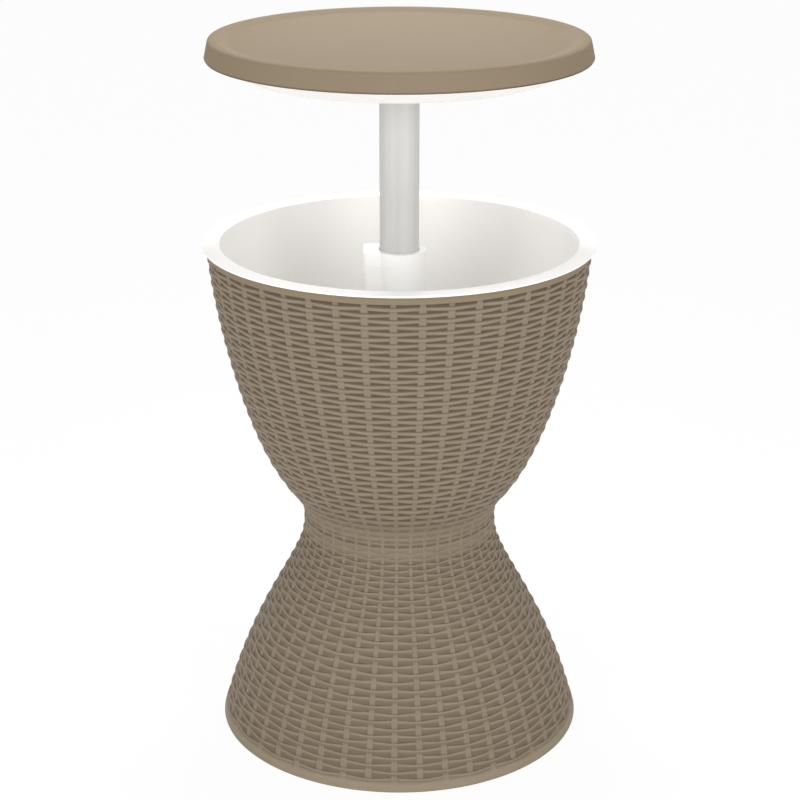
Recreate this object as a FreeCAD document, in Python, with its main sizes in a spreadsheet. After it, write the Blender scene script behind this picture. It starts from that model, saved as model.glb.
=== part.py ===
import FreeCAD, Part
import math
import os
import Sketcher

os.makedirs("parts", exist_ok=True)
V = FreeCAD.Vector

# Cooler side table in imitation rattan, in millimetres, Z up.
# The origin is the centre of the foot on the floor. The release button faces -X.
# The tabletop stands raised on its mast, as it is when the bucket is in use.

SIZES = (
    # Hourglass shells
    ("base_radius", 201.5),
    ("waist_radius", 106.5),
    ("waist_height", 243.5),
    ("bowl_radius", 204.8),
    ("bowl_top_height", 544.0),
    ("shell_wall", 3.0),
    ("deck_thickness", 4.0),
    ("foot_lip_width", 9.0),
    ("foot_lip_thickness", 4.0),
    ("cove_height", 6.0),
    ("cove_flare", 3.7),
    ("cove_hollow", 0.9),
    # Bucket
    ("rim_overhang", 1.0),
    ("rim_thickness", 4.0),
    ("rim_round", 1.4),
    ("liner_wall", 3.0),
    ("insulation_space", 8.1),
    ("bucket_stand_off", 27.5),
    ("bucket_floor_thickness", 4.0),
    ("stand_off_wall", 7.0),
    # Clearances
    ("seat_gap", 0.3),
    ("running_gap", 0.08),
    ("thread_gap", 0.1),
    ("hole_gap", 0.3),
    # Mast sleeve through the waist
    ("bush_wall", 3.0),
    ("sleeve_wall", 3.0),
    ("sleeve_flange_width", 13.0),
    ("sleeve_flange_thickness", 4.0),
    ("sleeve_drop", 58.0),
    ("seal_thickness", 1.5),
    ("seal_margin", 2.0),
    ("sleeve_nut_width", 19.0),
    ("sleeve_nut_height", 10.0),
    ("spigot_spare", 2.0),
    ("key_width", 5.0),
    ("key_depth", 1.3),
    # Fixings through the waist
    ("waist_screw_inset", 31.5),
    ("waist_screw_radius", 2.0),
    ("waist_screw_head_radius", 4.0),
    ("waist_screw_head_height", 2.8),
    ("waist_boss_radius", 5.0),
    ("waist_boss_height", 10.0),
    # Drain
    ("drain_offset", 72.0),
    ("spout_radius", 8.0),
    ("spout_bore", 5.5),
    ("spout_flange_radius", 14.0),
    ("spout_flange_thickness", 2.5),
    ("spout_seal_thickness", 1.0),
    ("spout_seal_margin", 0.5),
    ("drain_nut_height", 7.5),
    ("spout_spare", 6.0),
    ("plug_head_radius", 11.0),
    ("plug_head_height", 4.0),
    ("plug_stem_length", 16.0),
    ("plug_groove_depth", 11.2),
    ("plug_tab_width", 14.0),
    ("plug_tab_thickness", 3.0),
    ("plug_tab_height", 9.0),
    ("plug_seal_thickness", 1.8),
    # Mast
    ("mast_radius", 21.0),
    ("mast_wall", 2.0),
    ("mast_engagement", 22.0),
    ("guide_height", 10.0),
    ("guide_plug_length", 26.0),
    ("bush_flange_height", 9.7),
    # Collar and its brake
    ("collar_wall", 1.4),
    ("collar_grip", 26.0),
    ("collar_rise", 45.0),
    ("lobe_length", 9.8),
    ("lobe_width", 28.0),
    ("lobe_lift", 14.0),
    ("lobe_corner", 5.0),
    ("cover_height", 12.5),
    ("cover_wall", 1.8),
    ("cover_stand_out", 0.3),
    ("press_travel", 2.0),
    ("brake_height", 10.0),
    ("brake_ring_wall", 2.05),
    ("brake_clear", 1.3),
    ("pad_spread", 70.0),
    ("lug_inset", 0.2),
    ("lug_width", 8.0),
    ("lug_hole_depth", 2.9),
    ("lug_margin", 1.0),
    ("button_width", 18.0),
    ("button_height", 20.0),
    ("button_thickness", 3.5),
    ("button_rib_depth", 1.0),
    ("button_rib_height", 2.2),
    ("button_rib_pitch", 5.8),
    ("button_rib_margin", 2.0),
    ("button_stem", 5.0),
    ("spring_wire", 0.9),
    ("spring_radius", 6.7),
    ("spring_turns", 3.0),
    ("collar_screw_lift", 7.0),
    ("collar_screw_radius", 1.5),
    ("collar_screw_head_radius", 3.0),
    ("collar_screw_head_height", 1.2),
    # Tabletop
    ("tabletop_height", 769.2),
    ("skirt_setback", 8.1),
    ("skirt_depth", 20.8),
    ("skirt_lean", 4.5),
    ("tabletop_wall", 3.0),
    ("dish_depth", 3.0),
    ("lip_width", 4.5),
    ("skirt_round", 2.0),
    # Underside of the tabletop
    ("panel_depth", 37.2),
    ("panel_wall", 2.5),
    ("mouth_gap", 4.7),
    ("panel_slope_run", 25.0),
    ("panel_slope_height", 14.0),
    ("panel_flange_inset", 1.6),
    ("panel_flange_gap", 0.5),
    ("panel_slope_inset", 1.5),
    ("recess_gap", 7.7),
    ("recess_depth", 8.5),
    ("panel_screw_inset", 16.0),
    ("panel_screw_radius", 2.0),
    ("panel_screw_head_radius", 4.0),
    ("panel_screw_head_height", 1.6),
    ("panel_boss_radius", 5.0),
    # Mast head under the tabletop
    ("head_wall", 4.0),
    ("head_flange_width", 14.9),
    ("head_flange_thickness", 5.0),
    ("head_boss_length", 12.0),
    ("head_boss_inset", 8.0),
    ("head_screw_radius", 1.8),
    ("head_screw_head_radius", 3.4),
    ("head_screw_head_height", 2.2),
    ("head_skirt_length", 8.0),
    ("mast_pin_radius", 2.0),
)

# Fixings on a circle: how many there are, and the angle of the first one in degrees from +X.
WAIST_SCREW_COUNT = 4
WAIST_SCREW_ANGLE = 45.0
COLLAR_SCREW_COUNT = 3
COLLAR_SCREW_ANGLE = 60.0
PANEL_SCREW_COUNT = 6
PANEL_SCREW_ANGLE = 0.0
HEAD_SCREW_COUNT = 4
HEAD_SCREW_ANGLE = 45.0

# How far a cut runs past the face it opens, and how far fused pieces run into each other.
OVER = 1.0

# Points nearer to each other than this are the same point.
SAME_PLACE = 1e-3

doc = FreeCAD.newDocument("CoolerTable")
sheet = doc.addObject("Spreadsheet::Sheet", "Sizes")
nodes = []


class Size:
    """A length: its value, and the sheet formula that an object is bound to."""

    def __init__(self, value, text=None):
        self.value = float(value)
        self.text = text if text else repr(float(value))

    def joined(self, sign, other, value):
        return Size(value, "(" + self.text + sign + other.text + ")")

    def __add__(self, other):
        other = as_size(other)
        return self.joined(" + ", other, self.value + other.value)

    def __sub__(self, other):
        other = as_size(other)
        return self.joined(" - ", other, self.value - other.value)

    def __mul__(self, other):
        other = as_size(other)
        return self.joined(" * ", other, self.value * other.value)

    def __truediv__(self, other):
        other = as_size(other)
        return self.joined(" / ", other, self.value / other.value)

    def __neg__(self):
        return Size(-self.value, "(0 - " + self.text + ")")

    def __radd__(self, other):
        return as_size(other) + self

    def __rsub__(self, other):
        return as_size(other) - self

    def __rmul__(self, other):
        return as_size(other) * self


def as_size(number):
    return number if isinstance(number, Size) else Size(number)


class SizeTable:
    """The sheet's sizes by name."""


def fill_sheet():
    """Write each driving size into the sheet and return them by name."""
    table = SizeTable()
    for row, (name, value) in enumerate(SIZES, start=1):
        sheet.set("A%d" % row, name)
        sheet.set("B%d" % row, str(value))
        sheet.setAlias("B%d" % row, name)
        setattr(table, name, Size(value, "Sizes." + name))
    doc.recompute()
    return table


S = fill_sheet()


# Heights and radii that several pieces share

deck_bottom = S.waist_height - S.deck_thickness
bowl_floor_top = S.waist_height + S.deck_thickness
rim_radius = S.bowl_radius + S.cove_flare + S.rim_overhang
rim_bottom = S.bowl_top_height + S.cove_height
rim_top = rim_bottom + S.rim_thickness
liner_outer_inset = S.shell_wall + S.insulation_space
liner_inner_inset = liner_outer_inset + S.liner_wall
opening_radius = S.bowl_radius - liner_inner_inset
bucket_floor_height = bowl_floor_top + S.bucket_stand_off
bucket_floor_bottom = bucket_floor_height - S.bucket_floor_thickness

sleeve_bore = S.mast_radius + S.bush_wall
sleeve_radius = sleeve_bore + S.sleeve_wall
sleeve_flange_radius = sleeve_radius + S.sleeve_flange_width
sleeve_nut_radius = sleeve_radius + S.sleeve_nut_width
sleeve_top_height = rim_top - S.sleeve_drop
sleeve_flange_bottom = bucket_floor_height + S.seal_thickness
sleeve_flange_top = sleeve_flange_bottom + S.sleeve_flange_thickness
spigot_radius = sleeve_radius - S.seat_gap
spigot_bottom = deck_bottom - S.sleeve_nut_height - S.spigot_spare
waist_hole_radius = spigot_radius + S.hole_gap
waist_screw_circle = S.waist_radius - S.waist_screw_inset
stand_off_radius = waist_hole_radius + S.stand_off_wall
keyway_depth = S.key_depth + S.hole_gap
keyway_width = S.key_width + S.seat_gap * 2

spout_hole_radius = S.spout_radius + S.hole_gap
spout_boss_radius = spout_hole_radius + S.stand_off_wall / 2
spout_flange_bottom = bucket_floor_height + S.spout_seal_thickness
spout_flange_top = spout_flange_bottom + S.spout_flange_thickness
spout_bottom = deck_bottom - S.drain_nut_height - S.spout_spare

mast_bottom_height = sleeve_top_height - S.mast_engagement
mast_bore = S.mast_radius - S.mast_wall
guide_radius = sleeve_bore - S.running_gap
bush_bore = S.mast_radius + S.running_gap
bush_top = sleeve_top_height + S.bush_flange_height
bush_bottom = mast_bottom_height + S.seat_gap

collar_bore = sleeve_radius + S.thread_gap
collar_radius = collar_bore + S.collar_wall
collar_bottom_height = sleeve_top_height - S.collar_grip
collar_top_height = sleeve_top_height + S.collar_rise
collar_screw_height = collar_bottom_height + S.collar_screw_lift
lobe_reach = collar_radius + S.lobe_length
lobe_bottom_height = collar_bottom_height + S.lobe_lift
lug_reach = collar_radius - S.lug_inset
lug_hole_end = lug_reach - S.lug_hole_depth
latch_middle = bush_top + S.seat_gap + S.brake_height / 2
brake_bottom = latch_middle - S.brake_height / 2
brake_top = latch_middle + S.brake_height / 2
cavity_top = brake_top + S.seat_gap
mast_hole = S.mast_radius + S.hole_gap * 2
cover_bottom = collar_top_height - S.cover_height

skirt_radius = rim_radius - S.skirt_setback
skirt_bottom_height = S.tabletop_height - S.skirt_depth
tabletop_edge_radius = skirt_radius - S.skirt_lean
dish_height = S.tabletop_height - S.dish_depth
tabletop_underside = dish_height - S.tabletop_wall
panel_bottom_height = S.tabletop_height - S.panel_depth
panel_flange_height = skirt_bottom_height + S.panel_flange_inset
panel_plug_radius = opening_radius - S.mouth_gap
panel_foot_radius = panel_plug_radius - S.panel_slope_run
panel_screw_circle = panel_foot_radius - S.panel_screw_inset
panel_recess_roof = panel_bottom_height + S.recess_depth
recess_radius = lobe_reach + S.recess_gap

head_bore = S.mast_radius + S.thread_gap
head_radius = head_bore + S.head_wall
head_flange_radius = head_radius + S.head_flange_width
head_boss_circle = head_flange_radius - S.head_boss_inset
head_flange_top = tabletop_underside - S.head_boss_length
head_flange_bottom = head_flange_top - S.head_flange_thickness
head_bottom = head_flange_bottom - S.head_skirt_length
mast_top = tabletop_underside - S.seat_gap
mast_pin_height = head_flange_top + S.head_boss_length / 2


# Building blocks

def bind(thing, prop, size):
    """Tie one property of an object to the sheet."""
    thing.setExpression(prop, as_size(size).text)


def place(thing, x=0, y=0, z=0):
    bind(thing, "Placement.Base.x", x)
    bind(thing, "Placement.Base.y", y)
    bind(thing, "Placement.Base.z", z)


def turn(thing, axis, degrees):
    """Turn an object about its own base point, before its place is bound."""
    thing.Placement = FreeCAD.Placement(V(0, 0, 0), FreeCAD.Rotation(axis, degrees))


def keep(thing, node):
    """Name a finished sub-part and put it on the list of nodes to write."""
    thing.Label = node
    nodes.append(thing)
    return thing


def box(low, high):
    """A box between two corners, each given as x, y and z."""
    thing = doc.addObject("Part::Box", "Block")
    for prop, start, end in zip(("Length", "Width", "Height"), low, high):
        bind(thing, prop, as_size(end) - start)
    place(thing, *low)
    return thing


def cylinder(radius, bottom, top, x=0, y=0):
    """An upright cylinder between two heights."""
    thing = doc.addObject("Part::Cylinder", "Round")
    bind(thing, "Radius", radius)
    bind(thing, "Height", as_size(top) - bottom)
    place(thing, x, y, bottom)
    return thing


def rod(radius, start, end, degrees, height):
    """A level cylinder that points away from the axis at an angle, from start to end."""
    thing = doc.addObject("Part::Cylinder", "Rod")
    bind(thing, "Radius", radius)
    bind(thing, "Height", as_size(end) - start)
    outward = V(math.cos(math.radians(degrees)), math.sin(math.radians(degrees)), 0)
    thing.Placement = FreeCAD.Placement(V(0, 0, 0), FreeCAD.Rotation(V(0, 0, 1), outward))
    place(thing, as_size(start) * outward.x, as_size(start) * outward.y, height)
    return thing


def fused(*things):
    if len(things) == 1:
        return things[0]
    thing = doc.addObject("Part::MultiFuse", "Joined")
    thing.Shapes = list(things)
    return thing


def cut(base, *tools):
    thing = doc.addObject("Part::Cut", "Shaped")
    thing.Base = base
    thing.Tool = fused(*tools)
    return thing


def common(*things):
    thing = doc.addObject("Part::MultiCommon", "Shared")
    thing.Shapes = list(things)
    return thing


def tube(inner, outer, bottom, top, x=0, y=0):
    """A ring or tube: the bore runs past both ends of the outer cylinder."""
    return cut(cylinder(outer, bottom, top, x, y), cylinder(inner, bottom - OVER, top + OVER, x, y))


def around(count, first, circle):
    """Places on a circle: x, y and the angle in degrees, counted from the first angle."""
    for step in range(count):
        degrees = first + 360.0 * step / count
        radians = math.radians(degrees)
        yield as_size(circle) * math.cos(radians), as_size(circle) * math.sin(radians), degrees


def origin_plane(body, role):
    return next(item for item in body.Origin.OriginFeatures if item.Role == role)


def revolved(outline):
    """A PartDesign body turned about Z from an outline of (radius, height) corners.

    A third entry on a corner rounds the side that leads to the next corner: its radius, positive
    where the arc turns left and negative where it turns right.
    """
    body = doc.addObject("PartDesign::Body", "Turned")
    sketch = body.newObject("Sketcher::SketchObject", "Outline")
    sketch.AttachmentSupport = [(origin_plane(body, "XZ_Plane"), "")]
    sketch.MapMode = "FlatFace"
    corners = [(as_size(c[0]), as_size(c[1]), c[2] if len(c) > 2 else None) for c in outline]
    for index, (r, z, bend) in enumerate(corners):
        r_next, z_next, _ = corners[(index + 1) % len(corners)]
        start = V(r.value, z.value, 0)
        end = V(r_next.value, z_next.value, 0)
        if bend is None:
            sketch.addGeometry(Part.LineSegment(start, end), False)
        else:
            sketch.addGeometry(bent_side(start, end, as_size(bend).value), False)
    for index, (r, z, bend) in enumerate(corners):
        pin_corner(sketch, index, corners)
        if bend is not None:
            size = as_size(bend)
            radius = size if size.value > 0 else -size
            fix(sketch, Sketcher.Constraint("Radius", index, radius.value), radius)
    feature = body.newObject("PartDesign::Revolution", "Turn")
    feature.Profile = sketch
    feature.ReferenceAxis = (sketch, ["V_Axis"])
    feature.Angle = 360.0
    sketch.Visibility = False
    return body


def bent_side(start, end, radius):
    """The arc between two corners, with its centre on the left (positive) or right (negative)."""
    chord = end - start
    reach = abs(radius)
    left = V(-chord.y, chord.x, 0) / chord.Length
    rise = math.sqrt(max(reach * reach - (chord.Length / 2) ** 2, 0.0))
    centre = (start + end) * 0.5 + left * math.copysign(rise, radius)
    first, last = (start, end) if radius > 0 else (end, start)
    first_angle = math.atan2(first.y - centre.y, first.x - centre.x)
    last_angle = math.atan2(last.y - centre.y, last.x - centre.x)
    return Part.ArcOfCircle(Part.Circle(centre, V(0, 0, 1), reach), first_angle, last_angle)


def is_reversed(bend):
    """Whether a side is drawn from its far corner: arcs always run anticlockwise."""
    return bend is not None and as_size(bend).value < 0


def pin_corner(sketch, index, corners):
    """Join one side's start to the side before, and bind it to its radius and height."""
    r, z, bend = corners[index]
    before = (index - 1) % len(corners)
    start_point = 2 if is_reversed(bend) else 1
    end_before = 1 if is_reversed(corners[before][2]) else 2
    sketch.addConstraint(Sketcher.Constraint("Coincident", before, end_before, index, start_point))
    if abs(r.value) < SAME_PLACE:
        sketch.addConstraint(Sketcher.Constraint("PointOnObject", index, start_point, -2))
    else:
        fix(sketch, Sketcher.Constraint("DistanceX", -1, 1, index, start_point, r.value), r)
    fix(sketch, Sketcher.Constraint("DistanceY", -1, 1, index, start_point, z.value), z)


def fix(sketch, constraint, size):
    """Add a dimension to a sketch and bind it to the sheet."""
    number = sketch.addConstraint(constraint)
    bind(sketch, "Constraints[%d]" % number, size)


# Hourglass outlines

# Each shell's outline is one Bezier curve. Its handles are given as shares of the shell's height and
# of its flare, counted from the waist for the bowl and from the foot for the base.
BOWL_HANDLES = ((0.0, 0.0), (0.144, 0.0), (0.0, 0.353), (0.595, 0.888), (1.0, 1.0))
BASE_HANDLES = ((0.0, 0.0), (0.6, 0.402), (0.767, 1.052), (1.0, 1.0))


def outline_curve(handles, foot, head, inset):
    """The Bezier outline from foot to head, each (radius, height), drawn in by the inset."""
    poles = []
    for rise, reach in handles:
        radius = foot[0] + (head[0] - foot[0]) * reach - inset
        height = foot[1] + (head[1] - foot[1]) * rise
        poles.append(V(radius, 0, height))
    curve = Part.BezierCurve()
    curve.setPoles(poles)
    return curve.toShape()


def solid_of_turn(curve, points):
    """The solid turned about Z from a curve and the straight sides that close it."""
    ends = curve.Vertexes
    corners = [ends[-1].Point] + points + [ends[0].Point]
    sides = [Part.makeLine(a, b) for a, b in zip(corners, corners[1:])]
    face = Part.Face(Part.Wire([curve] + sides))
    return face.revolve(V(0, 0, 0), V(0, 0, 1), 360)


def slab(low, high):
    """A disc wider than the part, between two heights."""
    return Part.makeCylinder(rim_radius.value * 2, high - low, V(0, 0, low))


def disc(radius, low, high, x=0.0, y=0.0):
    return Part.makeCylinder(radius, high - low, V(x, y, low))


def bowl_form(inset, low, high):
    """The bowl's solid form, drawn in by the inset, between two heights."""
    waist = (S.waist_radius.value, S.waist_height.value)
    rim = (S.bowl_radius.value, S.bowl_top_height.value)
    curve = outline_curve(BOWL_HANDLES, waist, rim, inset)
    top = rim_top.value + OVER
    points = [V(rim[0] - inset, 0, top), V(0, 0, top), V(0, 0, waist[1])]
    return solid_of_turn(curve, points).common(slab(low, high))


def base_form(inset, low, high):
    """The base's solid form, drawn in by the inset, between two heights."""
    foot = (S.base_radius.value, 0.0)
    waist = (S.waist_radius.value, S.waist_height.value)
    curve = outline_curve(BASE_HANDLES, foot, waist, inset)
    points = [V(0, 0, waist[1]), V(0, 0, 0)]
    return solid_of_turn(curve, points).common(slab(low, high))


def screw_places():
    """The four waist screws, as plain numbers."""
    places = around(WAIST_SCREW_COUNT, WAIST_SCREW_ANGLE, waist_screw_circle)
    return [(x.value, y.value) for x, y, _ in places]


def shaped(node, shape):
    """A sub-part whose outline is a free curve, so its shape is worked out here."""
    thing = doc.addObject("Part::Feature", "Moulded")
    thing.Shape = shape.removeSplitter()
    thing.Placement = FreeCAD.Placement()
    return keep(thing, node)


# Body of the table

def make_base_shell():
    """Lower woven shell: open foot with an inward lip, and a deck at the waist."""
    wall = S.shell_wall.value
    shape = base_form(0.0, 0.0, S.waist_height.value)
    hollow = base_form(wall, S.foot_lip_thickness.value, deck_bottom.value)
    lip_bore = S.base_radius.value - S.foot_lip_width.value
    shape = shape.cut(hollow).cut(disc(lip_bore, -OVER, S.foot_lip_thickness.value + OVER))
    low = deck_bottom.value - OVER
    high = S.waist_height.value + OVER
    shape = shape.cut(disc(waist_hole_radius.value, low, high))
    shape = shape.cut(disc(spout_hole_radius.value, low, high, S.drain_offset.value))
    for x, y in screw_places():
        shape = shape.cut(disc(S.waist_screw_radius.value + S.thread_gap.value, low, high, x, y))
    return shaped("base_shell", shape)


def make_bowl_shell():
    """Upper woven shell: a floor on the base's deck, screw bosses, and a cove under the rim."""
    wall = S.shell_wall.value
    low = S.waist_height.value
    floor = bowl_floor_top.value
    top = rim_bottom.value
    shape = bowl_form(0.0, low, top).fuse(cove_form())
    shape = shape.cut(bowl_form(wall, floor, top + OVER))
    boss_top = floor + S.waist_boss_height.value
    hole_radius = S.waist_screw_radius.value + S.thread_gap.value
    for x, y in screw_places():
        shape = shape.fuse(disc(S.waist_boss_radius.value, floor - OVER, boss_top, x, y))
        shape = shape.cut(disc(hole_radius, low - OVER, boss_top - wall, x, y))
    shape = shape.cut(disc(waist_hole_radius.value, low - OVER, floor + OVER))
    shape = shape.cut(disc(spout_hole_radius.value, low - OVER, floor + OVER, S.drain_offset.value))
    return shaped("bowl_shell", shape)


def cove_form():
    """The plain ring under the rim: its outside is a hollow curve that flares out to the rim."""
    start = V(S.bowl_radius.value, 0, S.bowl_top_height.value)
    end = V(S.bowl_radius.value + S.cove_flare.value, 0, rim_bottom.value)
    chord = end - start
    inwards = V(-chord.z, 0, chord.x).normalize()
    # A curve of three poles passes half as far from its chord as its middle pole does.
    handle = (start + end) * 0.5 + inwards * S.cove_hollow.value * 2
    curve = Part.BezierCurve()
    curve.setPoles([start, handle, end])
    inner = S.bowl_radius.value - S.shell_wall.value / 2
    return solid_of_turn(curve.toShape(), [V(inner, 0, end.z), V(inner, 0, start.z)])


def make_bucket_liner():
    """White bucket: wall, floor, flat rim, and stand-offs down to the bowl's floor."""
    floor = bucket_floor_height.value
    under = bucket_floor_bottom.value
    foot = bowl_floor_top.value
    top = rim_top.value
    drain = S.drain_offset.value
    outside = bowl_form(liner_outer_inset.value, under, top)
    rim = disc(rim_radius.value, rim_bottom.value, top)
    shape = outside.fuse(rim)
    shape = shape.fuse(disc(stand_off_radius.value, foot, under + OVER))
    shape = shape.fuse(disc(spout_boss_radius.value, foot, under + OVER, drain))
    shape = shape.cut(bowl_form(liner_inner_inset.value, floor, top + OVER))
    shape = shape.cut(disc(waist_hole_radius.value, foot - OVER, floor + OVER))
    shape = shape.cut(disc(spout_hole_radius.value, foot - OVER, floor + OVER, drain))
    shape = rounded_rim(shape)
    return shaped("bucket_liner", shape)


def rounded_rim(shape):
    """Round the rim's outer edges and the edge of the opening."""
    rim = rim_radius.value
    mouth = opening_radius.value
    top = rim_top.value
    edges = [e for e in shape.Edges if on_circle(e, rim, top) or on_circle(e, rim, rim_bottom.value)]
    edges += [e for e in shape.Edges if on_circle(e, mouth, top)]
    return shape.makeFillet(S.rim_round.value, edges)


def on_circle(edge, radius, height):
    """Whether an edge is the circle of this radius about Z at this height."""
    if not isinstance(edge.Curve, Part.Circle):
        return False
    centre = edge.Curve.Center
    level = abs(centre.z - height) < SAME_PLACE and math.hypot(centre.x, centre.y) < SAME_PLACE
    return level and abs(edge.Curve.Radius - radius) < SAME_PLACE


def make_bucket_insulation():
    """Foam between the bucket and the bowl, clear of the stand-offs and screw bosses."""
    gap = S.seat_gap.value
    low = bowl_floor_top.value + gap
    high = rim_bottom.value - gap
    shape = bowl_form(S.shell_wall.value + gap, low, high)
    shape = shape.cut(bowl_form(liner_outer_inset.value - gap, bucket_floor_bottom.value - gap, high + OVER))
    shape = shape.cut(disc(stand_off_radius.value + gap, low - OVER, high))
    shape = shape.cut(disc(spout_boss_radius.value + gap, low - OVER, high, S.drain_offset.value))
    boss_top = bowl_floor_top.value + S.waist_boss_height.value + gap
    for x, y in screw_places():
        shape = shape.cut(disc(S.waist_boss_radius.value + gap, low - OVER, boss_top, x, y))
    return shaped("bucket_insulation", shape)


def make_mast_sleeve():
    """Guide tube of the mast: flange on the bucket's floor, spigot down through the waist."""
    body = revolved((
        (sleeve_bore, spigot_bottom),
        (spigot_radius, spigot_bottom),
        (spigot_radius, sleeve_flange_bottom),
        (sleeve_flange_radius, sleeve_flange_bottom),
        (sleeve_flange_radius, sleeve_flange_top),
        (sleeve_radius, sleeve_flange_top),
        (sleeve_radius, sleeve_top_height),
        (sleeve_bore, sleeve_top_height),
    ))
    keyway = box(
        (sleeve_bore - S.key_width, -keyway_width / 2, spigot_bottom - OVER),
        (sleeve_bore + keyway_depth, keyway_width / 2, bush_bottom),
    )
    screw_holes = []
    for _, _, degrees in around(COLLAR_SCREW_COUNT, COLLAR_SCREW_ANGLE, 0):
        hole = rod(S.collar_screw_radius + S.thread_gap, sleeve_bore - OVER, sleeve_radius + OVER,
                   degrees, collar_screw_height)
        screw_holes.append(hole)
    return keep(cut(body, keyway, *screw_holes), "mast_sleeve")


def make_sleeve_fixings():
    """Seal under the sleeve's flange and the nut under the deck."""
    seal = tube(waist_hole_radius, sleeve_flange_radius - S.seal_margin, bucket_floor_height,
                sleeve_flange_bottom)
    keep(seal, "sleeve_seal")
    nut_bottom = deck_bottom - S.sleeve_nut_height
    keep(nut(8, sleeve_nut_radius, spigot_radius + S.thread_gap, nut_bottom, 0), "sleeve_nut")


def nut(sides, radius, bore_radius, bottom, x):
    """A nut with flat sides, screwed up against the deck."""
    blank = doc.addObject("Part::Prism", "NutBlank")
    blank.Polygon = sides
    bind(blank, "Circumradius", radius)
    bind(blank, "Height", deck_bottom - bottom)
    place(blank, x, 0, bottom)
    return cut(blank, cylinder(bore_radius, bottom - OVER, deck_bottom + OVER, x))


def make_waist_screws():
    """Four screws that join the base's deck to the bowl's floor from below."""
    screws = []
    tip = bowl_floor_top + S.waist_boss_height - S.shell_wall - S.seat_gap
    for x, y, _ in around(WAIST_SCREW_COUNT, WAIST_SCREW_ANGLE, waist_screw_circle):
        low = deck_bottom - S.waist_screw_head_height
        head = cylinder(S.waist_screw_head_radius, low, deck_bottom, x, y)
        shank = cylinder(S.waist_screw_radius, deck_bottom - S.waist_screw_head_height / 2, tip, x, y)
        screws.append(fused(head, shank))
    keep(group_of(screws), "waist_screws")


def group_of(things):
    """Several separate solids as one node."""
    thing = doc.addObject("Part::Compound", "Group")
    thing.Links = list(things)
    return thing


def make_drain():
    """Spout through the bucket's floor, its seal and nut, and the plug with its ring seal."""
    x = S.drain_offset
    flange = cylinder(S.spout_flange_radius, spout_flange_bottom, spout_flange_top, x)
    barrel = cylinder(S.spout_radius, spout_bottom, spout_flange_top, x)
    bore = cylinder(S.spout_bore, spout_bottom - OVER, spout_flange_top + OVER, x)
    keep(cut(fused(flange, barrel), bore), "drain_spout")
    seal = tube(spout_hole_radius, S.spout_flange_radius - S.spout_seal_margin, bucket_floor_height,
                spout_flange_bottom, x)
    keep(seal, "drain_spout_seal")
    nut_bottom = deck_bottom - S.drain_nut_height
    keep(nut(6, S.spout_flange_radius, S.spout_radius + S.thread_gap, nut_bottom, x), "drain_nut")


def make_plug():
    """Drain plug with a pull tab, and the ring seal in its groove."""
    x = S.drain_offset
    rest = spout_flange_top + S.seat_gap
    head_top = rest + S.plug_head_height
    stem_radius = S.spout_bore - S.hole_gap
    stem_bottom = rest - S.plug_stem_length
    groove_middle = rest - S.plug_groove_depth
    half = S.plug_seal_thickness / 2
    ring_radius = S.spout_bore - S.running_gap - half
    groove_low = groove_middle - half - S.thread_gap
    groove_high = groove_middle + half + S.thread_gap
    groove = tube(ring_radius - half, S.spout_bore, groove_low, groove_high, x)
    head = cylinder(S.plug_head_radius, rest, head_top, x)
    stem = cylinder(stem_radius, stem_bottom, head_top - OVER, x)
    tab = box(
        (x - S.plug_tab_width / 2, -S.plug_tab_thickness / 2, head_top - OVER),
        (x + S.plug_tab_width / 2, S.plug_tab_thickness / 2, head_top + S.plug_tab_height),
    )
    keep(cut(fused(head, stem, tab), groove), "drain_plug")
    ring = doc.addObject("Part::Torus", "Ring")
    bind(ring, "Radius1", ring_radius)
    bind(ring, "Radius2", half - S.running_gap / 4)
    place(ring, x, 0, groove_middle)
    keep(ring, "plug_seal")


# Mast and its guides

def make_guide_bush():
    """Bearing in the sleeve's top: its lower end stops the mast's guide when the top is raised."""
    barrel_radius = sleeve_bore - S.thread_gap
    flange_radius = collar_bore - S.seat_gap
    body = revolved((
        (bush_bore, bush_bottom),
        (barrel_radius, bush_bottom),
        (barrel_radius, sleeve_top_height),
        (flange_radius, sleeve_top_height),
        (flange_radius, bush_top),
        (bush_bore, bush_top),
    ))
    return keep(body, "guide_bush")


def make_mast_tube():
    """The mast, with the cross pin's holes near its top."""
    body = tube(mast_bore, S.mast_radius, mast_bottom_height, mast_top)
    reach = S.mast_radius + OVER
    hole = rod(S.mast_pin_radius + S.thread_gap, -reach, reach, 0.0, mast_pin_height)
    return keep(cut(body, hole), "mast_tube")


def make_mast_guide():
    """Guide on the mast's lower end, with a key that runs in the sleeve's keyway."""
    low = mast_bottom_height - S.guide_height
    plug_top = mast_bottom_height + S.guide_plug_length
    plug_radius = mast_bore - S.thread_gap
    edge = S.shell_wall / 2
    body = revolved((
        (0, low),
        (guide_radius - edge, low),
        (guide_radius, low + edge),
        (guide_radius, mast_bottom_height),
        (plug_radius, mast_bottom_height),
        (plug_radius, plug_top),
        (0, plug_top),
    ))
    key = box(
        (guide_radius - edge, -S.key_width / 2, low + edge),
        (sleeve_bore + S.key_depth, S.key_width / 2, mast_bottom_height),
    )
    return keep(fused(body, key), "mast_guide")


# Collar, cover and brake

def lobe(grow, bottom, top):
    """The collar's lobe towards -X with rounded corners, grown outwards by a margin."""
    reach = lobe_reach + grow
    half = S.lobe_width / 2 + grow
    corner = S.lobe_corner + grow
    middle = lobe_reach - S.lobe_corner
    wide = box((-middle, -half, bottom), (0, half, top))
    deep = box((-reach, corner - half, bottom), (0, half - corner, top))
    near = cylinder(corner, bottom, top, -middle, corner - half)
    far = cylinder(corner, bottom, top, -middle, half - corner)
    return fused(wide, deep, near, far)


def left_half(bottom, top):
    """A block that takes in everything on the -X side between two heights."""
    far = lobe_reach * 2
    return box((-far, -far, bottom), (0, far, top))


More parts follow.
